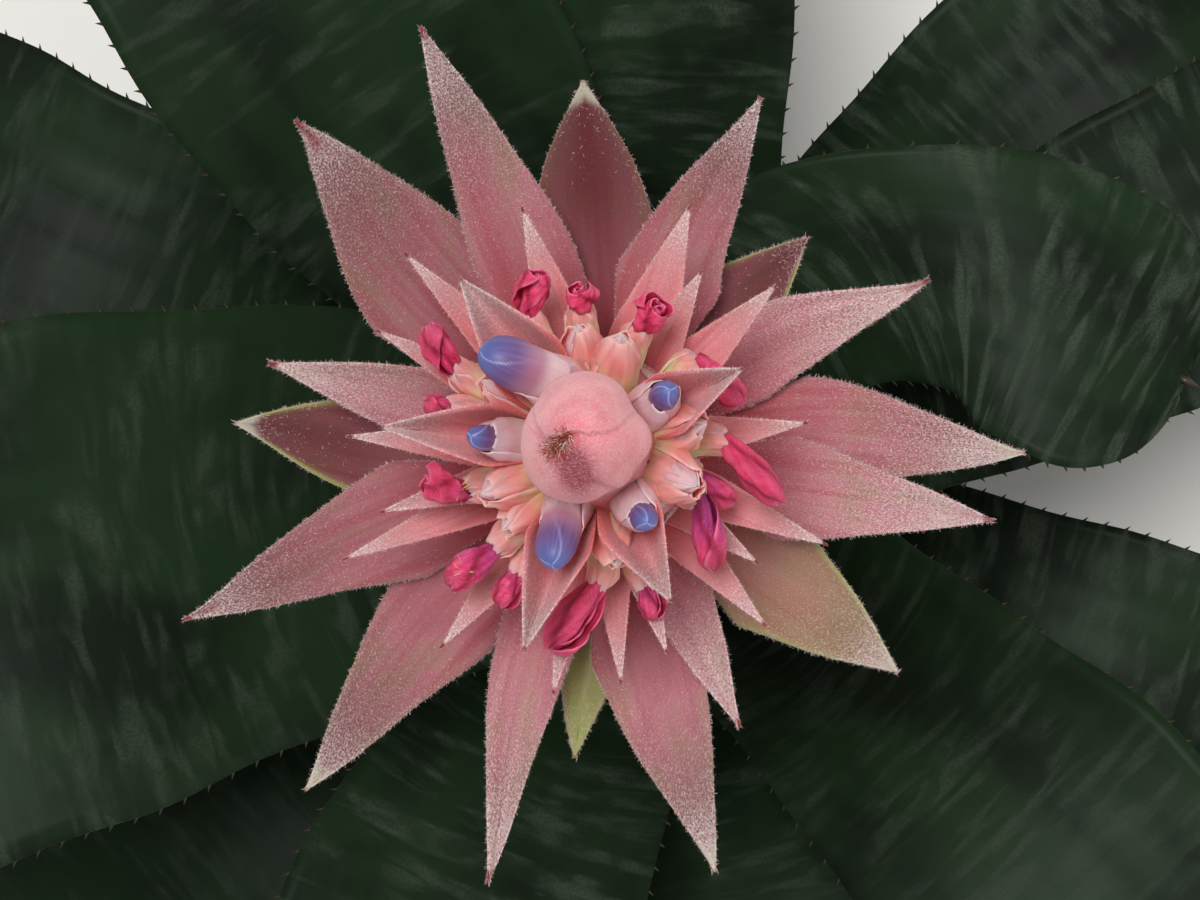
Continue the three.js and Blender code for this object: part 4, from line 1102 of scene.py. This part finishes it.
def crown_hoods():
    """Rings of the crown, three hoods wrapped over each other in a dome, and what its material reads."""
    lobes = np.array(CROWN_LOBES)
    share = np.concatenate([np.linspace(0.7, 1, 4)[:-1], np.linspace(1, 0.004, 100)])[:, None]
    inside = np.arange(len(share))[:, None] < 3
    turn = all_round(230)
    azimuth = (turn + 31) % 360 - 31
    rim = np.interp(azimuth, [*lobes[:, 0], 360 + lobes[0, 0]], [*lobes[:, 1], lobes[0, 1]])
    rim = np.mean([np.roll(rim, shift, axis=1) for shift in range(-5, 6)], axis=0)
    # The lobes fade towards the top.
    reach = share * CROWN_GROWTH * lerp(8.2, rim, smooth(share * 1.4 - 0.2))
    plan = polar(turn, reach)
    over_right, over_left = past_edge(plan, UPPER_OVER_RIGHT), past_edge(plan, UPPER_OVER_LEFT)
    left_right = past_edge(plan, LEFT_OVER_RIGHT)
    upper = np.minimum(over_right, -over_left)
    is_upper = smooth(upper / 0.7 + 0.5)
    left = np.minimum(-left_right, over_left)
    is_left = smooth(left / 0.5 + 0.5) * (1 - is_upper)
    from_tuft = np.linalg.norm(plan - TUFT, axis=-1)
    grown = smooth(from_tuft / 2.5)
    # A hood swells behind its edge, and the one below it dips beside the edge.
    rise = is_upper * (0.5 + 0.35 * smooth(upper / 1.8)) + is_left * (0.28 + 0.2 * smooth(left / 1.5))
    near = np.minimum(np.abs(over_right), np.minimum(np.abs(over_left), np.abs(left_right) + 2 * is_upper))
    crease = np.exp(-(near / 0.45) ** 2) * (1 - is_upper) * smooth(from_tuft / 0.8)
    hollow = 0.9 * np.exp(-(from_tuft / 1.1) ** 2)
    x, y = plan[..., 0], plan[..., 1]
    valley = np.exp(-((x + 0.7) / 2.1) ** 2 - ((y + 4.6) / 2.8) ** 2)
    dimples = np.sin(3.1 * x + 1.3 * y) * np.sin(2.7 * y - 1.1 * x + 2)
    relief = rise * grown - 0.12 * crease - hollow - 1.1 * valley * (1 - is_upper) + 0.05 * dimples
    height = dome(share) + relief * smooth((1 - share) * 6)
    height = height + 0.2 * np.sin(x * 1.1 + 1) * np.sin(y * 0.9) * (1 - share)
    rings = raised(plan + CROWN_CENTRE, np.where(inside, CROWN_BASE, height))
    # The mauve share is partly the hoods' own flush round the tuft, partly painted shade: in the valley below
    # the tuft, along the creases and towards the lower side.
    flush = (1.5 * valley + 0.14 * smooth((-1 - y) / 4)) * (1 - 0.85 * is_upper)
    flush = flush + 0.75 * np.exp(-(from_tuft / 2.0) ** 2)
    # A painted highlight along the edges of the upper and left hoods, read as bloom.
    lip_highlight = np.exp(-((near - 0.22) / 0.2) ** 2) * np.maximum(is_upper, is_left) * smooth(from_tuft / 2)
    return rings, {"place": rings, "mauve": np.clip(flush + 0.4 * crease, 0, 1), "bloom": lip_highlight,
                   "rim": smooth((share - 0.55) / 0.4)}


def crown_tuft():
    """Brown hairs where the tips of the hoods meet, along a ridge that runs up to the right."""
    dice = np.random.default_rng(TUFT_SEED)
    along = dice.uniform(-1, 1, size=TUFT_HAIRS) * TUFT_REACH
    across = dice.normal(scale=TUFT_SPREAD, size=TUFT_HAIRS) * (1.1 - 0.35 * along / TUFT_REACH)
    beside = np.stack([0.45 + 0.78 * along - 0.7 * across, 0.3 + 0.74 * along + 0.7 * across], -1)
    spots = beside + TUFT
    heights = dome(np.linalg.norm(spots, axis=1) / 8.3) - 0.9
    heights = heights + 0.75 * (1 - np.exp(-(np.linalg.norm(beside, axis=1) / 1.1) ** 2))
    ways = dice.normal(scale=0.8, size=(TUFT_HAIRS, 3)) + np.array([0.4, 0.1, 0.9])
    lengths = 0.5 + 0.7 * dice.random(TUFT_HAIRS)
    return fibres(raised(spots + CROWN_CENTRE, heights), ways, lengths, TUFT_WIDTH, 1.3, dice)


def make_crown(look):
    """The crown bud and its tuft."""
    made = piece("crown_hoods", *loft(*crown_hoods()), crown_finish(look), "crown_bud")
    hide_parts("crown_bud")
    piece("crown_tuft", *crown_tuft(), tuft_finish(look), "crown_bud")


def make_scape(look):
    """The stalk with its erect bracts."""
    finish = scape_finish(look)
    foot = STEM_HEIGHT + GAP
    heights = np.linspace(foot, SCAPE_TOP, 90)[:, None]
    turn = all_round(48)
    radius = np.interp(heights, [SCAPE_TOP - 30, SCAPE_TOP - 14], [SCAPE_RADIUS, SCAPE_TOP_RADIUS])
    radius = radius * (1 + 0.012 * np.sin(np.radians(turn * 8) + heights / 9))
    parts = [loft(raised(polar(turn, radius), heights), {"place": ruler(turn / 360 * 36, heights, SCAPE)})]
    for i in range(SCAPE_BRACTS):
        row, u = over(*SCAPE_CELLS)
        spread = SCAPE_RADIUS - 0.2 + 1.6 * row + 5 * row * row
        half = 72 * (1 - row ** 1.8) + 1
        # Across from right to left, so that the upper side faces out.
        grid = raised(polar(GOLDEN_ANGLE * i - u * half, spread),
                      SCAPE_BRACT_HEIGHT + SCAPE_BRACT_STEP * i + SCAPE_BRACT_LENGTH * row)
        points, faces, _ = skin(grid, SCAPE_BRACT_THICKNESS, {})
        # Millimetres round the stalk, near enough, and up it.
        around = np.arctan2(points[:, 1], points[:, 0]) * 6
        place = np.stack([around, points[:, 2], np.full(len(points), 7.0)], -1)
        parts.append((points, faces, {"place": place}))
    made = piece("stalk_with_bracts", *join(parts), finish, "scape")
    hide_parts("scape")


def make_stem(look):
    """The stem: a cone of old leaf scars with its flat cut foot."""
    heights = np.linspace(0, STEM_HEIGHT, 80)[:, None]
    turn = all_round(72)
    radius = lerp(STEM_FOOT_RADIUS, STEM_TOP_RADIUS, heights / STEM_HEIGHT) - 0.25
    scars = 0.28 * np.sin(2 * np.pi * (heights + 1.2 * np.sin(np.radians(turn * 2))) / 3.7)
    rough = 0.14 * np.sin(np.radians(turn * 11) + heights) + 0.1 * np.sin(np.radians(turn * 23) - heights * 2)
    radius = np.minimum(radius + scars + rough, radius + 0.3) - 0.8 * smooth(1 - heights / 1.5)
    facts = {"place": ruler(turn / 360 * 110, heights, STEM)}
    made = piece("stem_bark", *loft(raised(polar(turn, radius), heights), facts), stem_finish(look), "stem")
    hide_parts("stem")


def placed(name, data):
    """An object of the stage, from its mesh, light or camera."""
    made = bpy.data.objects.new(name, data)
    bpy.context.scene.collection.objects.link(made)
    return made


def make_floor(look):
    """A plain pale floor that reaches past the horizon of every view."""
    mesh = bpy.data.meshes.new("floor")
    corners = [(x * FLOOR_HALF, y * FLOOR_HALF, 0) for x, y in ((-1, -1), (1, -1), (1, 1), (-1, 1))]
    mesh.from_pydata(corners, [], [(0, 1, 2, 3)])
    mesh.materials.append(floor_finish(look))
    placed("floor", mesh)


def make_lights(look):
    """An even white sky, a broad key light from above and a weak one from the side."""
    world = bpy.data.worlds.new("studio")
    world.use_nodes = True
    sky = world.node_tree.nodes["Background"].inputs
    sky["Color"].default_value, sky["Strength"].default_value = (1, 1, 1, 1), look.fill_light
    bpy.context.scene.world = world
    for (name, towards, spread), power in zip(LAMPS, (look.key_light, look.side_light)):
        lamp = bpy.data.lights.new(name, "SUN")
        lamp.angle, lamp.energy = math.radians(spread), power
        placed(name, lamp).rotation_euler = Vector(towards).to_track_quat("Z", "Y").to_euler()


def make_camera():
    """A camera that looks down on the head, with the photo's up side along +Y."""
    camera = bpy.data.cameras.new("camera")
    camera.lens, camera.sensor_width = CAMERA_LENS, CAMERA_SENSOR
    stand = placed("camera", camera)
    place = Vector(CAMERA_PLACE)
    back = (place - Vector(CAMERA_TARGET)).normalized()
    right = Vector((0, 1, 0)).cross(back).normalized()
    turned = Matrix((right, back.cross(right), back)).transposed().to_4x4()
    turned.translation = place
    stand.matrix_world = turned
    bpy.context.scene.camera = stand


def make_stage(look):
    """The pale floor, the soft lights and the camera. Colours are shown as they are, with no film curve."""
    make_floor(look)
    make_lights(look)
    make_camera()
    bpy.context.scene.view_settings.view_transform = "Standard"


# Settings

def shade(name, code, description):
    """A colour setting, given as sRGB hex."""
    return bpy.props.FloatVectorProperty(name=name, subtype="COLOR", size=3, min=0, max=1,
                                         default=linear(code), description=description)


def measure(name, value, description, least=0.0):
    """A number setting."""
    return bpy.props.FloatProperty(name=name, default=value, min=least, description=description)


class AechmeaLook(bpy.types.PropertyGroup):
    """Colours and fine sizes of the plant."""

    # The leaf colours are darkened as painted shade over the whole blade.
    leaf_green_and_shade: shade("Leaf green", 0x0E160D, "Deep green of the blade")
    leaf_light_green_and_shade: shade("Leaf light green", 0x182916, "Lighter green between the veins")
    leaf_silver_and_shade: shade("Leaf silver", 0x3E483C, "Scales that lie in bands across the blade")
    spine_brown: shade("Spine brown", 0x4A2F22, "Points of the leaf's teeth")
    spine_length: measure("Spine length", 1.4, "In millimetres")
    spine_spacing: measure("Spine spacing", 4.6, "In millimetres", 1.0)
    # Partly the bract's own salmon red, partly painted shade under the head.
    bract_foot_red_and_shade: shade("Bract foot", 0xA02834, "Salmon red at the foot")
    bract_pink: shade("Bract pink", 0xC27E88, "Dusty pink of the blade")
    # Partly the coral of the short bracts, partly painted shade in the gaps between the tubes.
    floral_foot_and_shade: shade("Floral bract foot", 0xE05850, "Salmon of the short bracts")
    floral_pink: shade("Floral bract pink", 0xEA8E94, "Their pink outer half")
    floral_dusk: shade("Floral bract dusk", 0xC08A8C, "Their skin under the felt of the tip")
    bract_tan: shade("Bract tan", 0x9A7C60, "Dry patches of the outer half")
    # Dull skin of the tip, and painted shade on the thinly felted bracts to the left.
    bract_dusk_and_shade: shade("Bract dusk", 0x724E4A, "Dull skin under the thick felt of the tip")
    bract_flush: shade("Bract flush", 0xA4525E, "Deeper red patches and veins")
    bract_maroon: shade("Bract maroon", 0x5C141C, "Upper face of the bracts behind")
    bract_olive: shade("Bract olive", 0x94864C, "Green edges of the older bracts")
    bract_verge: shade("Bract verge", 0x9AA25C, "Thin green edge and green end")
    bract_rib: shade("Bract midrib", 0xD8C49A, "Cream midrib of the green bracts")
    bract_frost: shade("Bract felt", 0xE2D6D2, "White hairs of the felt")
    bract_pale: shade("Bract dry end", 0xC4C4AE, "Pale green-white end of the older bracts")
    bract_tip: shade("Bract tip", 0x84282C, "Dry red-brown tip")
    hair_length: measure("Hair length", 0.62, "In millimetres")
    hairs_per_mm: measure("Hairs per millimetre", 13, "Along an edge")
    hair_root: shade("Hair root", 0xD6A6A8, "Hair near its root")
    hair_white: shade("Hair white", 0xEFE4DF, "Hair at its tip")
    sepal_cream: shade("Sepal cream", 0xE4DC9E, "Foot of the sepals")
    sepal_pink: shade("Sepal pink", 0xEA8E88, "Upper half of the sepals")
    sepal_flush: shade("Sepal flush", 0xD85F60, "Salmon patches and veins")
    sepal_pale: shade("Sepal pale", 0xE8C0CC, "Sepals that hold a blue bud")
    sepal_edge: shade("Sepal edge", 0xF4DEDC, "Thin pale edge")
    bud_blue: shade("Bud blue", 0x54609E, "Tip of the bud")
    bud_lilac: shade("Bud lilac", 0x6E5086, "Middle of the bud")
    bud_foot: shade("Bud foot", 0xE6C2C6, "Pale foot of the bud, by its sepals")
    bud_pink: shade("Bud pink", 0xB67E92, "Lower half of the bud")
    bud_light: shade("Bud fold", 0x9C9ECB, "Pale folds and streaks")
    spent_magenta: shade("Spent magenta", 0xEE386C, "Withered petal")
    spent_crimson: shade("Spent crimson", 0xC62A52, "Darker patches")
    spent_purple: shade("Spent purple", 0x8E2E86, "Where the petal was blue")
    # Painted shade in the folds.
    spent_fold_shade: shade("Spent dark", 0x981438, "Depth of the folds")
    # Pale creases and thin edges, and the painted highlight on the ridges.
    spent_light_and_highlight: shade("Spent light", 0xF4709A, "Creases and thin edges")
    stamen_root: shade("Stamen foot", 0xC98A4E, "Dry stamen near its root")
    stamen_tip: shade("Stamen tip", 0xF0DDA8, "Dry stamen at its tip")
    crown_pink: shade("Crown pink", 0xF69CA6, "Hoods of the crown")
    crown_salmon: shade("Crown salmon", 0xE87682, "Warmer patches")
    # Partly the flush round the tuft, partly painted shade in the valley and creases.
    crown_mauve_and_shade: shade("Crown mauve", 0x9A1E3A, "Flush below the tuft")
    crown_rim: shade("Crown rim", 0xEFAFAC, "Peach of the outer rim")
    # Pale velvet hairs, and the painted highlight along the hood edges.
    crown_velvet_and_highlight: shade("Crown bloom", 0xF2CDCB, "Velvet hairs")
    tuft_dark: shade("Tuft dark", 0x7A1E1C, "Roots of the tuft")
    tuft_brown: shade("Tuft brown", 0xB84C3A, "Lighter hairs of the tuft")
    tuft_gold: shade("Tuft white", 0xF2E4D2, "Glinting white hairs")
    stalk_flesh: shade("Stalk flesh", 0xA9A57E, "Green of the stalk")
    stalk_pink: shade("Stalk pink", 0xD08F8C, "Pink of the stalk")
    wool_white: shade("Wool white", 0xEDE6DC, "Wool on the stalk")
    bark_brown: shade("Bark brown", 0x6B5238, "Bark of the stem")
    bark_light: shade("Bark light", 0x8F7555, "Dry flakes")
    bark_dark: shade("Bark dark", 0x33251A, "Cracks")


class AechmeaStage(bpy.types.PropertyGroup):
    """Floor and lights."""

    floor_pale: shade("Floor", 0xE2E0DB, "Pale floor")
    key_light: measure("Key light", 2.4, "Strength from above")
    side_light: measure("Side light", 0.6, "Strength from the side")
    fill_light: measure("Fill light", 0.4, "Strength of the sky")


def operator(key, label, told, work, group="aechmea_look"):
    """An operator that builds one piece or a group of like pieces."""

    def execute(self, context):
        work(getattr(context.scene, group))
        return {"FINISHED"}

    settings = {"bl_idname": "aechmea." + key, "bl_label": label, "__doc__": told,
                "bl_options": {"REGISTER", "UNDO"}, "execute": execute}
    return type("AECHMEA_OT_" + key, (bpy.types.Operator,), settings)


OPERATORS = [
    operator("leaves", "Leaves", "Adds the silver-banded leaves and their spines", make_leaves),
    operator("stem", "Stem", "Adds the short stem with its leaf scars", make_stem),
    operator("scape", "Stalk", "Adds the woolly stalk with its bracts", make_scape),
    operator("outer_bracts", "Outer bracts", "Adds the pink star of bracts with its felt", make_outer_bracts),
    operator("core", "Head core", "Adds the fleshy core of the flower head", make_core),
    operator("floral_bracts", "Floral bracts", "Adds the shorter bracts of the head", make_floral_bracts),
    operator("sepal_tubes", "Sepal tubes", "Adds the sepals of the single flowers", make_sepal_tubes),
    operator("buds", "Blue buds", "Adds the blue flower buds", make_buds),
    operator("spent_flowers", "Spent flowers", "Adds the withered magenta flowers", make_spent_flowers),
    operator("crown", "Crown", "Adds the hoods and tuft of the crown bud", make_crown),
    operator("stage", "Stage", "Adds the floor, the lights and the camera", make_stage, "aechmea_stage"),
]


class AECHMEA_PT_panel(bpy.types.Panel):
    """Lists the steps that build the plant."""

    bl_idname = "AECHMEA_PT_panel"
    bl_label = "Aechmea bromeliad"
    bl_space_type = "VIEW_3D"
    bl_region_type = "UI"
    bl_category = "Aechmea"

    def draw(self, context):
        for made in OPERATORS:
            self.layout.operator(made.bl_idname)


CLASSES = [AechmeaLook, AechmeaStage, *OPERATORS, AECHMEA_PT_panel]


def register():
    for made in CLASSES:
        bpy.utils.register_class(made)
    bpy.types.Scene.aechmea_look = bpy.props.PointerProperty(type=AechmeaLook)
    bpy.types.Scene.aechmea_stage = bpy.props.PointerProperty(type=AechmeaStage)


def unregister():
    del bpy.types.Scene.aechmea_stage
    del bpy.types.Scene.aechmea_look
    for made in reversed(CLASSES):
        bpy.utils.unregister_class(made)


def main():
    register()
    for made in OPERATORS:
        group, name = made.bl_idname.split(".")
        getattr(getattr(bpy.ops, group), name)()


if __name__ == "__main__":
    main()
